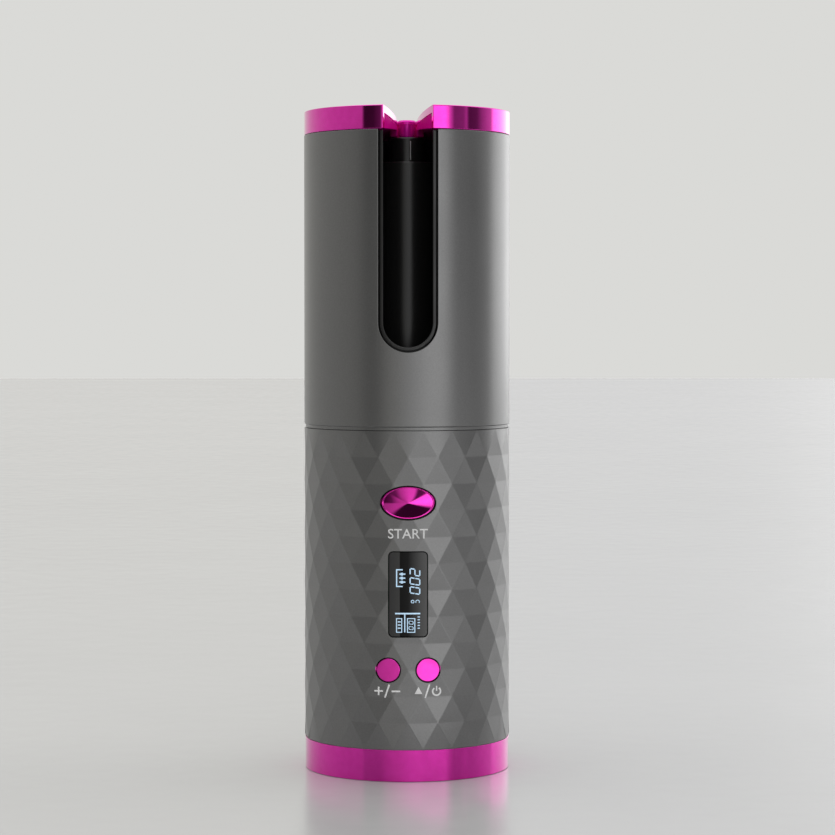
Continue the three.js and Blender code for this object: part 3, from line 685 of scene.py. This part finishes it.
def rim_drop(share, rim_share=0.93, depth=0.25):
    """How far the rounded rim has fallen away at a share of the radius."""
    if share <= rim_share:
        return 0.0
    along = (share - rim_share) / (1 - rim_share)
    return depth * (1 - math.sqrt(max(0.0, 1 - along * along)))


def start_relief(share):
    """A shallow cone that rises to the middle, inside a thin raised rim."""
    slope, peak = 1.05, 0.05
    rim_share, rim_width, rim_height = 0.955, 0.04, 0.24
    off_rim = (share - rim_share) / rim_width
    rim = rim_height * max(0.0, 1 - off_rim * off_rim)
    return slope * share - peak - rim


def round_relief(share):
    """A shallow dish inside a rounded rim."""
    dish = 0.05
    return dish * (1 - share * share) + rim_drop(share)


def gap_shade_ring(key, centre, half):
    """A dark ring that fills the opening round a key, set back from the face: painted shade for the gap round
    the key.
    """
    gap_ring_face, back = 30.0, -28.4
    inner_margin = 0.05
    low, high = centre[1] - 2 * half[1], centre[1] + 2 * half[1]
    # Painted shade: the ring is black so that the gap round the key looks shaded.
    shape = as_object(f"{key}_gap_shade", through(key_outline(centre, half, key_clearance), -body_radius, back))
    combined(shape, through(key_outline(centre, half, inner_margin), -body_radius - overcut, back + overcut))
    combined(shape, turned([(0, low), (gap_ring_face, low), (gap_ring_face, high), (0, high)]), "INTERSECT")
    piece(shape, "body", component_black)


def display_window():
    """The glass, its face following the round body."""
    beyond = 4.0
    low, high = window_centre[1] - window_half[1] - beyond, window_centre[1] + window_half[1] + beyond
    envelope = turned([(0, low), (window_face, low), (window_face, high), (0, high)])
    back = -27.3
    shape = as_object("glass_of_the_display", through(window_outline(0), -body_radius, back))
    combined(shape, envelope, "INTERSECT")
    softened(shape, 0.12)
    piece(shape, "body", display_glass, ["display_window"])


# ---------- thin printed and lit marks ----------


def stroke(points, width):
    """The outline of a straight-sided stroke along a line of points, with square ends."""
    left, right = [], []
    for i, (x, y) in enumerate(points):
        before = Vector(points[max(i - 1, 0)])
        after = Vector(points[min(i + 1, len(points) - 1)])
        along = (after - before).normalized()
        across = Vector((-along.y, along.x)) * (width / 2)
        left.append((x + across.x, y + across.y))
        right.append((x - across.x, y - across.y))
    return left + right[::-1]


def bar(x0, y0, x1, y1):
    """A rectangle between two corners."""
    return [(x0, y0), (x1, y0), (x1, y1), (x0, y1)]


def flat_faces(outlines):
    """Outlines in the (x, z) plane as flat faces."""
    mesh = bmesh.new()
    for outline in outlines:
        mesh.faces.new([mesh.verts.new((x, 0, z)) for x, z in outline])
    return mesh


def lettering(text, size, centre):
    """A word in Blender's own plain font, as flat faces in the (x, z) plane."""
    curve = bpy.data.curves.new("lettering", "FONT")
    curve.body = text
    curve.size = size
    curve.align_x = "CENTER"
    curve.align_y = "CENTER"
    curve.resolution_u = 4
    curve.offset = 0.03
    holder = bpy.data.objects.new("lettering", curve)
    bpy.context.scene.collection.objects.link(holder)
    graph = bpy.context.evaluated_depsgraph_get()
    data = bpy.data.meshes.new_from_object(holder.evaluated_get(graph))
    bpy.data.objects.remove(holder)
    mesh = bmesh.new()
    mesh.from_mesh(data)
    for vertex in mesh.verts:
        vertex.co = (vertex.co.x + centre[0], 0, vertex.co.y + centre[1])
    return mesh


def laid_on(mesh, surface_y, thickness=0.06):
    """Lays flat faces on a surface as a thin closed layer. surface_y(x, z) is the front of the surface."""
    step = 0.5
    lows = [min(vertex.co[axis] for vertex in mesh.verts) for axis in (0, 2)]
    highs = [max(vertex.co[axis] for vertex in mesh.verts) for axis in (0, 2)]
    for axis, low, high in zip((0, 2), lows, highs):
        normal = Vector((1, 0, 0)) if axis == 0 else Vector((0, 0, 1))
        for i in range(1, int((high - low) / step) + 1):
            geometry = mesh.verts[:] + mesh.edges[:] + mesh.faces[:]
            bmesh.ops.bisect_plane(mesh, geom=geometry, plane_co=normal * (low + i * step), plane_no=normal)
    front = list(mesh.verts)
    bmesh.ops.recalc_face_normals(mesh, faces=mesh.faces)
    result = bmesh.ops.extrude_face_region(mesh, geom=mesh.faces[:])
    moved = [item for item in result["geom"] if isinstance(item, bmesh.types.BMVert)]
    for vertex in moved:
        vertex.co.y = surface_y(vertex.co.x, vertex.co.z) + thickness / 2
    for vertex in front:
        vertex.co.y = surface_y(vertex.co.x, vertex.co.z) - thickness / 2
    bmesh.ops.recalc_face_normals(mesh, faces=mesh.faces)
    return mesh


def labels(grip):
    """Printed marks below the keys, laid on the facets."""
    word_size, word_place = 4.15, (-0.1, 75.0)
    height, line, arm = 27.55, 0.5, 1.3

    def facet_y(x, z):
        """The front of the grip at (x, z), found by a ray from in front."""
        hit, place, _, _ = grip.ray_cast(Vector((x, -2 * body_radius, z)) * MM, Vector((0, 1, 0)))
        return place.y / MM if hit else -body_radius

    def printed(name, mesh):
        """Prints flat marks on the facets as one piece."""
        piece(as_object(name, laid_on(mesh, facet_y)), "body", print_white)

    def slash(x):
        lean, reach = 0.65, 2.0
        return stroke([(x - lean, height - reach), (x + lean, height + reach)], line)

    printed("start_label", lettering("START", word_size, word_place))

    plus_x, slash_x, minus_x = (temperature_centre[0] + shift for shift in (-2.9, -0.35, 2.3))
    plus = [
        bar(plus_x - arm, height - line / 2, plus_x + arm, height + line / 2),
        bar(plus_x - line / 2, height + line / 2, plus_x + line / 2, height + arm),
        bar(plus_x - line / 2, height - arm, plus_x + line / 2, height - line / 2),
    ]
    minus = bar(minus_x - arm, height - line / 2, minus_x + arm, height + line / 2)
    printed("temperature_label", flat_faces([*plus, slash(slash_x), minus]))

    triangle_x, slash_x, power_x = (power_centre[0] + shift for shift in (-2.9, -0.2, 2.6))
    side, foot, peak = 1.15, height - 0.8, height + 1.35
    triangle = [(triangle_x - side, foot), (triangle_x + side, foot), (triangle_x, peak)]
    power_radius, ring_drop = 1.2, 0.15
    ring = stroke(arc((power_x, height - ring_drop), power_radius, 125, 415, 24), line)
    stem = bar(power_x - 0.2, height, power_x + 0.2, height + 1.5)
    printed("power_label", flat_faces([triangle, slash(slash_x), ring, stem]))


def digit(segments, along, across, width, height, line, slant):
    """A seven-segment digit, its lower left corner at (along, across)."""
    half = height / 2
    ends = {
        "top": ((0, height), (width, height)),
        "middle": ((0, half), (width, half)),
        "bottom": ((0, 0), (width, 0)),
        "upper_left": ((0, half), (0, height)),
        "upper_right": ((width, half), (width, height)),
        "lower_left": ((0, 0), (0, half)),
        "lower_right": ((width, 0), (width, half)),
    }
    short = line * 0.35
    outlines = []
    for name in segments:
        (x0, y0), (x1, y1) = ends[name]
        direction = (Vector((x1, y1)) - Vector((x0, y0))).normalized() * short
        points = [(x0 + direction.x, y0 + direction.y), (x1 - direction.x, y1 - direction.y)]
        points = [(along + x + slant * y, across + y) for x, y in points]
        outlines.append(stroke(points, line))
    return outlines


TWO = ("top", "upper_right", "middle", "lower_left", "bottom")
NOUGHT = ("top", "upper_left", "upper_right", "lower_left", "lower_right", "bottom")


def temperature_marks():
    """The figure 200, a degree ring and a C."""
    start, pitch, foot = 4.9, 2.75, 6.35
    outlines = []
    for i, segments in enumerate((TWO, NOUGHT, NOUGHT)):
        outlines += digit(segments, start + i * pitch, foot, 1.85, 2.9, mark_line, 0.16)
    outlines.append(stroke(arc((14.9, 7.1), 0.42, 0, 350, 16), thin_line))
    outlines.append(stroke(arc((15.0, 8.6), 0.55, 60, 300, 12), thin_line))
    return outlines


def strand_marks():
    """Three strands standing in an open tray."""
    low, high, left, right = 2.1, 4.1, 5.1, 10.5
    outlines = [
        bar(left, low, right, low + mark_line),
        bar(left, low + mark_line, left + mark_line, high),
        bar(right - mark_line, low + mark_line, right, high),
    ]
    for i in range(3):
        middle = 6.6 + i * 1.2
        outlines.append(bar(middle - 0.2, 3.1, middle + 0.2, 4.9))
        outlines.append(bar(middle - 0.42, 3.5, middle - 0.22, 4.2))
        outlines.append(bar(middle + 0.22, 3.5, middle + 0.42, 4.2))
    return outlines


def setting_marks():
    """Two rules, a framed row of bars, framed noughts and a scale."""
    frame_start, frame_end, frame_line, frame_side = 19.9, 24.3, 0.28, 0.25
    outlines = [bar(18.3, 1.8, 18.75, 9.4), bar(18.75, 4.55, 24.2, 4.9)]
    for low, high in ((2.1, 3.95), (5.4, 7.9)):
        outlines.append(bar(frame_start, low, frame_end, low + frame_line))
        outlines.append(bar(frame_start, high - frame_line, frame_end, high))
        outlines.append(bar(frame_start, low + frame_line, frame_start + frame_side, high - frame_line))
        outlines.append(bar(frame_end - frame_side, low + frame_line, frame_end, high - frame_line))
    for i in range(3):
        outlines.append(bar(20.85 + i * 0.95, 2.6, 21.2 + i * 0.95, 3.5))
    for i in range(2):
        outlines += digit(NOUGHT, 20.75 + i * 1.65, 6.0, 0.9, 1.25, thin_line, 0.1)
    for i in range(5):
        outlines.append(bar(19.4 + i * 0.85, 8.6, 19.7 + i * 0.85, 9.3))
    return outlines


def display_marks():
    """Lit marks, drawn along the display's length and read with the body lying on its side.

    Each mark is placed along the body from the window's top, then across from the window's left side.
    """
    left = window_centre[0] - window_half[0]
    top = window_centre[1] + window_half[1]
    outlines = temperature_marks() + strand_marks() + setting_marks()
    turned_outlines = [[(left + across, top - along) for along, across in outline] for outline in outlines]
    mesh = laid_on(flat_faces(turned_outlines), lambda x, z: on_cylinder(x, window_face), 0.03)
    piece(as_object("display_marks", mesh), "body", display_light)


# ---------- upper body ----------


def upper_housing():
    """The chamber's shell. Its lowest band is recessed, and all but closes the gap to the handle."""
    edge = 0.25
    bottom, top = handle_high.z + 2 * hairline, cap_low.z - hairline
    profile = rounded(
        [
            (housing_bore, bottom, 0),
            (body_radius - seam_depth, bottom, 0.05),
            (body_radius - seam_depth, bottom + seam_height, 0.1),
            (body_radius, bottom + seam_height + seam_depth / 2, 0.15),
            (body_radius, top, edge),
            (housing_bore, top, 0),
        ]
    )
    shape = as_object("chamber_housing", turned(profile))
    slot = slot_outline(slot_half_width, slot_bottom, top + overcut)
    combined(shape, through(slot, -body_radius - overcut, -barrel_radius))
    softened(shape, 0.2)
    piece(shape, "body", satin_grey, ["upper_housing"])


def slot_liner():
    """The tube round the rotor, and the rim that fills the housing's slot."""
    bottom, top = liner_low.z, liner_high.z
    tube = [(liner_bore, bottom), (liner_radius, bottom), (liner_radius, top), (liner_bore, top)]
    shape = as_object("liner", turned(tube))
    margin = slot_half_width - liner_slot_half_width
    opening = slot_outline(liner_slot_half_width, slot_bottom + margin, top + overcut)
    combined(shape, through(opening, -body_radius - overcut, -barrel_radius))
    piece(shape, "body", black_liner, ["slot_liner"])

    rim_edge = 0.35
    profile = rounded(
        [
            (liner_bore, bottom, 0),
            (liner_rim_radius, bottom, 0),
            (liner_rim_radius, top, 0.3),
            (liner_bore, top, 0),
        ]
    )
    rim = as_object("liner_rim", turned(profile))
    band = slot_outline(slot_half_width - gap, slot_bottom + gap, top)
    combined(rim, through(band, -body_radius, -liner_bore / 2), "INTERSECT")
    combined(rim, through(opening, -body_radius - overcut, -barrel_radius))
    softened(rim, rim_edge, 3)
    piece(rim, "body", black_liner)


def rotor_sleeve():
    """The slotted tube that carries the claw round the barrel."""
    bottom, top = sleeve_low.z, sleeve_high.z
    profile = [(sleeve_bore, bottom), (sleeve_radius, bottom), (sleeve_radius, top), (sleeve_bore, top)]
    shape = as_object("turning_sleeve", turned(profile))
    slot = slot_outline(sleeve_slot_half_width, slot_bottom, top + overcut)
    combined(shape, through(slot, -body_radius, -barrel_radius))
    softened(shape, 0.2)
    piece(shape, "rotor", black_liner, ["rotor_sleeve"])


def rotor_claw():
    """The bright disc on top of the sleeve, with its hub, and an entry in line with the cap's."""
    rise = cap_field_bottom - hairline - claw_high.z
    profile = rounded(
        [
            (claw_hub_bore, claw_low.z, 0.2),
            (claw_hub_radius, claw_low.z, 0.2),
            (claw_hub_radius, claw_web_bottom, 0.2),
            (claw_high.x, sleeve_high.z + gap, 0.2),
            (claw_high.x, cap_field_bottom - hairline, 0.2),
            (claw_hub_bore, claw_hub_top + rise, 0.2),
        ]
    )
    shape = as_object("claw_disc", turned(profile))
    combined(shape, upright(entry_outline(), claw_low.z - overcut, claw_high.z + overcut))
    softened(shape, 0.12)
    piece(shape, "rotor", magenta_lacquer, ["rotor_claw"])


# ---------- barrel ----------


def chamber_floor():
    """The chamber's floor, open in the middle for the barrel and its mount."""
    edge = 0.4
    inner, outer = barrel_radius + 2 * gap + mount_wall, floor_high.x
    low, high = floor_low.z, floor_high.z
    profile = rounded([(inner, low, 0), (outer, low, 0), (outer, high, edge), (inner, high, edge)])
    shape = as_object("floor_of_the_chamber", turned(profile))
    piece(shape, "body", black_liner, ["chamber_floor"])


def barrel():
    """The heated tube, its top edge rounded over and turned in."""
    wall, corner_steps = 1.4, 6
    bore = barrel_radius - wall
    neck = insulator_radius + gap
    profile = rounded(
        [
            (bore, barrel_low.z, 0),
            (barrel_radius, barrel_low.z, 0),
            (barrel_radius, barrel_high.z, 0.4),
            (neck, barrel_high.z, 0.2),
            (neck, barrel_high.z - barrel_lip, 0),
            (bore, barrel_high.z - barrel_lip, 0),
        ],
        corner_steps,
    )
    shape = as_object("heated_barrel", turned(profile))
    piece(shape, "body", ceramic_black, ["barrel_tube"])


def insulator():
    """The black neck between barrel and tip, wider where it sits inside the barrel, with a thin rib."""
    shoulder = barrel_high.z - barrel_lip - gap
    bore = 1.3
    profile = rounded(
        [
            (bore, insulator_low.z, 0),
            (insulator_high.x, insulator_low.z, 0),
            (insulator_high.x, shoulder, 0),
            (insulator_radius, shoulder, 0),
            (insulator_radius, insulator_high.z, 0.5),
            (bore, insulator_high.z, 0),
        ]
    )
    shape = as_object("insulator_of_the_tip", turned(profile))
    piece(shape, "body", black_liner, ["tip_insulator"])

    rib_radius, rib_x = 0.22, 1.05
    rib_bottom, rib_top = barrel_high.z + 0.6, insulator_high.z - 1.2
    rib_centre = rib_x, on_cylinder(rib_x, insulator_radius)
    rib_profile = rounded(
        [(0, rib_bottom, 0), (rib_radius, rib_bottom, 0.1), (rib_radius, rib_top, 0.1), (0, rib_top, 0)]
    )
    rib = as_object("insulator_rib", turned(rib_profile, small_segments, rib_centre))
    piece(rib, "body", steel)


def barrel_tip():
    """A pin into the insulator, a neck that widens upward, and a chamfered head."""
    chamfer = 0.5
    pin, neck_low, neck_high = 1.0, 2.3, 2.85
    neck_bottom = insulator_high.z + gap
    head_bottom = 200.0
    top = tip_high.z
    profile = rounded(
        [
            (0, tip_low.z, 0),
            (pin, tip_low.z, 0),
            (pin, neck_bottom, 0),
            (neck_low, neck_bottom, 0.2),
            (neck_high, head_bottom, 0),
            (tip_radius, head_bottom, 0.1),
            (tip_radius, top - chamfer, 0.1),
            (tip_radius - chamfer, top, 0.1),
            (0, top, 0),
        ]
    )
    shape = as_object("end_of_the_barrel", turned(profile))
    piece(shape, "body", magenta_gloss, ["barrel_tip"])


# ---------- cap ----------


def entry_outline():
    """The cap's entry seen from above: sides that curve in from the rim to the hole round the tip."""
    mouth, throat = 7.6, 3.1
    throat_y, mouth_y = -4.5, -31.4
    control = 4.0, -18.0
    steps = 24
    side = []
    for step in range(steps + 1):
        t = step / steps
        x = (1 - t) ** 2 * throat + 2 * t * (1 - t) * control[0] + t * t * mouth
        y = (1 - t) ** 2 * throat_y + 2 * t * (1 - t) * control[1] + t * t * mouth_y
        side.append((x, y))
    side = [(throat, 0)] + side + [(mouth, -body_radius - overcut)]
    return side + [(-x, y) for x, y in reversed(side)]


def top_cap():
    """The bright lid: a level rim, a field that falls to the hole round the tip, and a skirt."""
    rings, rim_width = 12, 1.0
    rim = Vector((body_radius - rim_width, cap_high.z))
    hole = Vector((cap_hole_radius, cap_hole_top))
    field = [(*rim.lerp(hole, i / rings), 0) for i in range(1, rings)]
    profile = rounded(
        [
            (cap_skirt_inner, cap_low.z, 0),
            (body_radius, cap_low.z, 0.25),
            (body_radius, cap_high.z, 0.35),
            (*rim, 0.3),
            *field,
            (*hole, 0.3),
            (cap_hole_radius, cap_hole_bottom, 0.2),
            (cap_skirt_inner, cap_field_bottom, 0),
        ]
    )
    shape = as_object("cap_of_the_body", turned(profile))
    combined(shape, upright(entry_outline(), cap_low.z - overcut, cap_high.z + overcut))
    softened(shape, 0.2)
    piece(shape, "body", magenta_chrome, ["top_cap"])


# ---------- stage ----------


def pale_floor():
    """A pale top that ends in front of the object, as a counter does."""
    front, slope, far = -0.130, 0.06, 3.0
    mesh = bmesh.new()
    outline = [(-far, front - slope * far), (far, front + slope * far), (far, 2 * far), (-far, 2 * far)]
    mesh.faces.new([mesh.verts.new((x, y, 0)) for x, y in outline])
    floor = as_object("floor", mesh)
    floor.data.materials.append(
        textured("pale_floor", shade(0.50), shade(0.52), (0.20, 0.24), grain=6, relief=0.0)
    )


def math_node(tree, operation, first, second=None):
    """A math node's result, from numbers or from other nodes' results."""
    node = tree.nodes.new("ShaderNodeMath")
    node.operation = operation
    for socket, value in zip(node.inputs, (first, second)):
        if value is None:
            continue
        if isinstance(value, (int, float)):
            socket.default_value = value
        else:
            tree.links.new(value, socket)
    return node.outputs["Value"]


def fade(tree, value, start, end):
    """0 below start, 1 above end, smooth between."""
    node = tree.nodes.new("ShaderNodeMapRange")
    node.interpolation_type = "SMOOTHSTEP"
    node.inputs["From Min"].default_value = start
    node.inputs["From Max"].default_value = end
    tree.links.new(value, node.inputs["Value"])
    return node.outputs["Result"]


def mixed(tree, factor, first, second):
    """The first colour at factor 0, the second at 1."""
    node = tree.nodes.new("ShaderNodeMix")
    node.data_type = "RGBA"
    tree.links.new(factor, node.inputs["Factor"])
    for socket, value in zip((node.inputs[6], node.inputs[7]), (first, second)):
        if isinstance(value, tuple):
            socket.default_value = value
        else:
            tree.links.new(value, socket)
    return node.outputs[2]


BRIGHTEST = 3.2

# Brightness by direction round the object: degrees right of the front, then the level.
EYE_LEVEL = [
    (-180, 0.72), (-150, 0.72), (-120, 0.58), (-98, 0.46), (-75, 0.36), (-58, 0.28), (-48, 0.10), (-38, 0.05),
    (-31, 0.12), (-22, 0.54), (-12, 0.60), (0, 0.85), (12, 1.20), (20, 1.70), (27, 1.95),
    (43, 1.95), (49, 0.75), (54, 0.20), (65, 0.24), (69, 0.42), (72, 0.08), (84, 0.12), (92, 0.32),
    (106, 0.66), (112, 2.20), (150, 2.50), (162, 1.60), (172, 0.78), (180, 0.72),
]
RIM_LEVEL = [
    (-180, 0.72), (-120, 0.66), (-80, 0.58), (-52, 0.54), (-49, 0.03), (-38, 0.04), (-31, 0.10), (-22, 0.54),
    (-12, 0.60), (0, 0.85), (12, 1.20), (20, 1.70), (43, 1.90), (48, 0.80), (53, 0.20), (65, 0.24),
    (69, 0.44), (72, 0.08), (84, 0.11), (92, 0.32), (107, 0.62), (112, 1.90), (150, 2.50), (162, 1.60),
    (172, 0.78), (180, 0.72),
]
HIGHER = [
    (-180, 0.80), (-100, 0.60), (-70, 0.28), (-30, 0.10), (-22, 0.15), (-14, 0.50), (4, 0.90), (13, 0.90),
    (19, 0.10), (60, 0.12), (100, 1.20), (160, 1.00), (172, 0.80), (180, 0.80),
]
LOWER = [
    (-180, 0.72), (-120, 0.68), (-60, 0.56), (-42, 0.36), (-28, 0.52), (-12, 0.68), (0, 1.05), (20, 1.65),
    (43, 1.75), (54, 1.50), (84, 1.20), (104, 1.60), (112, 2.30), (150, 2.20), (172, 0.78), (180, 0.72),
]
WARM = (1.0, 0.99, 0.94)
OVERHEAD_LEVEL, BELOW_LEVEL = 1.5, 0.03

# Where one band gives way to the next, in degrees above the horizon.
LOWER_TO_EYE = (-6, -3)
EYE_TO_RIM = (3.3, 3.9)
RIM_TO_HIGHER = (9, 12)
HIGHER_TO_OVERHEAD = (38, 52)
BELOW_TO_LOWER = (-20, -13)
# The lowest edge moves up or down by this many degrees, times x times y of the direction.
BELOW_SLANT = 14


def azimuth_ramp(tree, turn, levels):
    """A level that follows the direction round the object, a little warmer on the left."""
    node = tree.nodes.new("ShaderNodeValToRGB")
    stops = []
    for angle, level in levels:
        tint = WARM if angle < 0 else shade(1.0)
        stops.append(((angle + 180) / 360, [level / BRIGHTEST * channel for channel in tint]))
    fill_ramp(node, stops)
    tree.links.new(turn, node.inputs["Fac"])
    return node.outputs["Color"]


def studio_light():
    """Soft light from all round, in upright bands as from windows and walls, over a plain background."""
    world = bpy.data.worlds.new("studio")
    bpy.context.scene.world = world
    world.use_nodes = True
    tree = world.node_tree
    place = tree.nodes.new("ShaderNodeTexCoord")
    parts = tree.nodes.new("ShaderNodeSeparateXYZ")
    tree.links.new(place.outputs["Generated"], parts.inputs["Vector"])
    x, y, z = (parts.outputs[axis] for axis in "XYZ")
    ahead = math_node(tree, "MULTIPLY", y, -1.0)
    turn = math_node(tree, "ARCTAN2", x, ahead)
    turn = math_node(tree, "MULTIPLY_ADD", turn, 1 / (2 * math.pi))
    turn.node.inputs[2].default_value = 0.5
    rise = math_node(tree, "MULTIPLY", math_node(tree, "ARCSINE", z), 180 / math.pi)
    eye = azimuth_ramp(tree, turn, EYE_LEVEL)
    rim = azimuth_ramp(tree, turn, RIM_LEVEL)
    higher = azimuth_ramp(tree, turn, HIGHER)
    lower = azimuth_ramp(tree, turn, LOWER)
    light = mixed(tree, fade(tree, rise, *LOWER_TO_EYE), lower, eye)
    light = mixed(tree, fade(tree, rise, *EYE_TO_RIM), light, rim)
    light = mixed(tree, fade(tree, rise, *RIM_TO_HIGHER), light, higher)
    overhead = (*shade(OVERHEAD_LEVEL / BRIGHTEST), 1)
    light = mixed(tree, fade(tree, rise, *HIGHER_TO_OVERHEAD), light, overhead)
    below = (*shade(BELOW_LEVEL / BRIGHTEST), 1)
    slant = math_node(tree, "MULTIPLY", math_node(tree, "MULTIPLY", x, y), BELOW_SLANT)
    edge = math_node(tree, "ADD", rise, slant)
    light = mixed(tree, fade(tree, edge, *BELOW_TO_LOWER), below, light)
    background = tree.nodes["Background"]
    tree.links.new(light, background.inputs["Color"])
    background.inputs["Strength"].default_value = BRIGHTEST

    seen = tree.nodes.new("ShaderNodeBackground")
    seen.inputs["Color"].default_value = (0.70, 0.70, 0.68, 1)
    path = tree.nodes.new("ShaderNodeLightPath")
    choice = tree.nodes.new("ShaderNodeMixShader")
    tree.links.new(path.outputs["Is Camera Ray"], choice.inputs["Fac"])
    tree.links.new(background.outputs["Background"], choice.inputs[1])
    tree.links.new(seen.outputs["Background"], choice.inputs[2])
    tree.links.new(choice.outputs["Shader"], tree.nodes["World Output"].inputs["Surface"])


def camera():
    """A long lens a little above the middle of the body, turned to look slightly down; metres and degrees."""
    data = bpy.data.cameras.new("camera")
    data.lens = 113.1
    data.sensor_width = 36.0
    holder = bpy.data.objects.new("camera", data)
    holder.location = (-0.00887, -0.81935, 0.13782)
    holder.rotation_euler = (math.radians(87.99), 0, math.radians(-0.85))
    bpy.context.scene.collection.objects.link(holder)
    bpy.context.scene.camera = holder


# ---------- the scene ----------
keys = {
    "start": (start_centre, start_half, start_relief),
    "temperature": (temperature_centre, round_half, round_relief),
    "power": (power_centre, round_half, round_relief),
}

bpy.context.scene.view_settings.view_transform = "Standard"
finish_cad_nodes()
# Paints reflection bands into the display glass's colour.
paint_display_reflection()
base_ring()
foot_pad()
grip = handle_shell()
for key, (centre, half, relief) in keys.items():
    key_cap(key, centre, half, relief)
    gap_shade_ring(key, centre, half)
display_window()
labels(grip)
display_marks()
upper_housing()
slot_liner()
rotor_sleeve()
rotor_claw()
chamber_floor()
barrel()
insulator()
barrel_tip()
top_cap()
pale_floor()
studio_light()
camera()
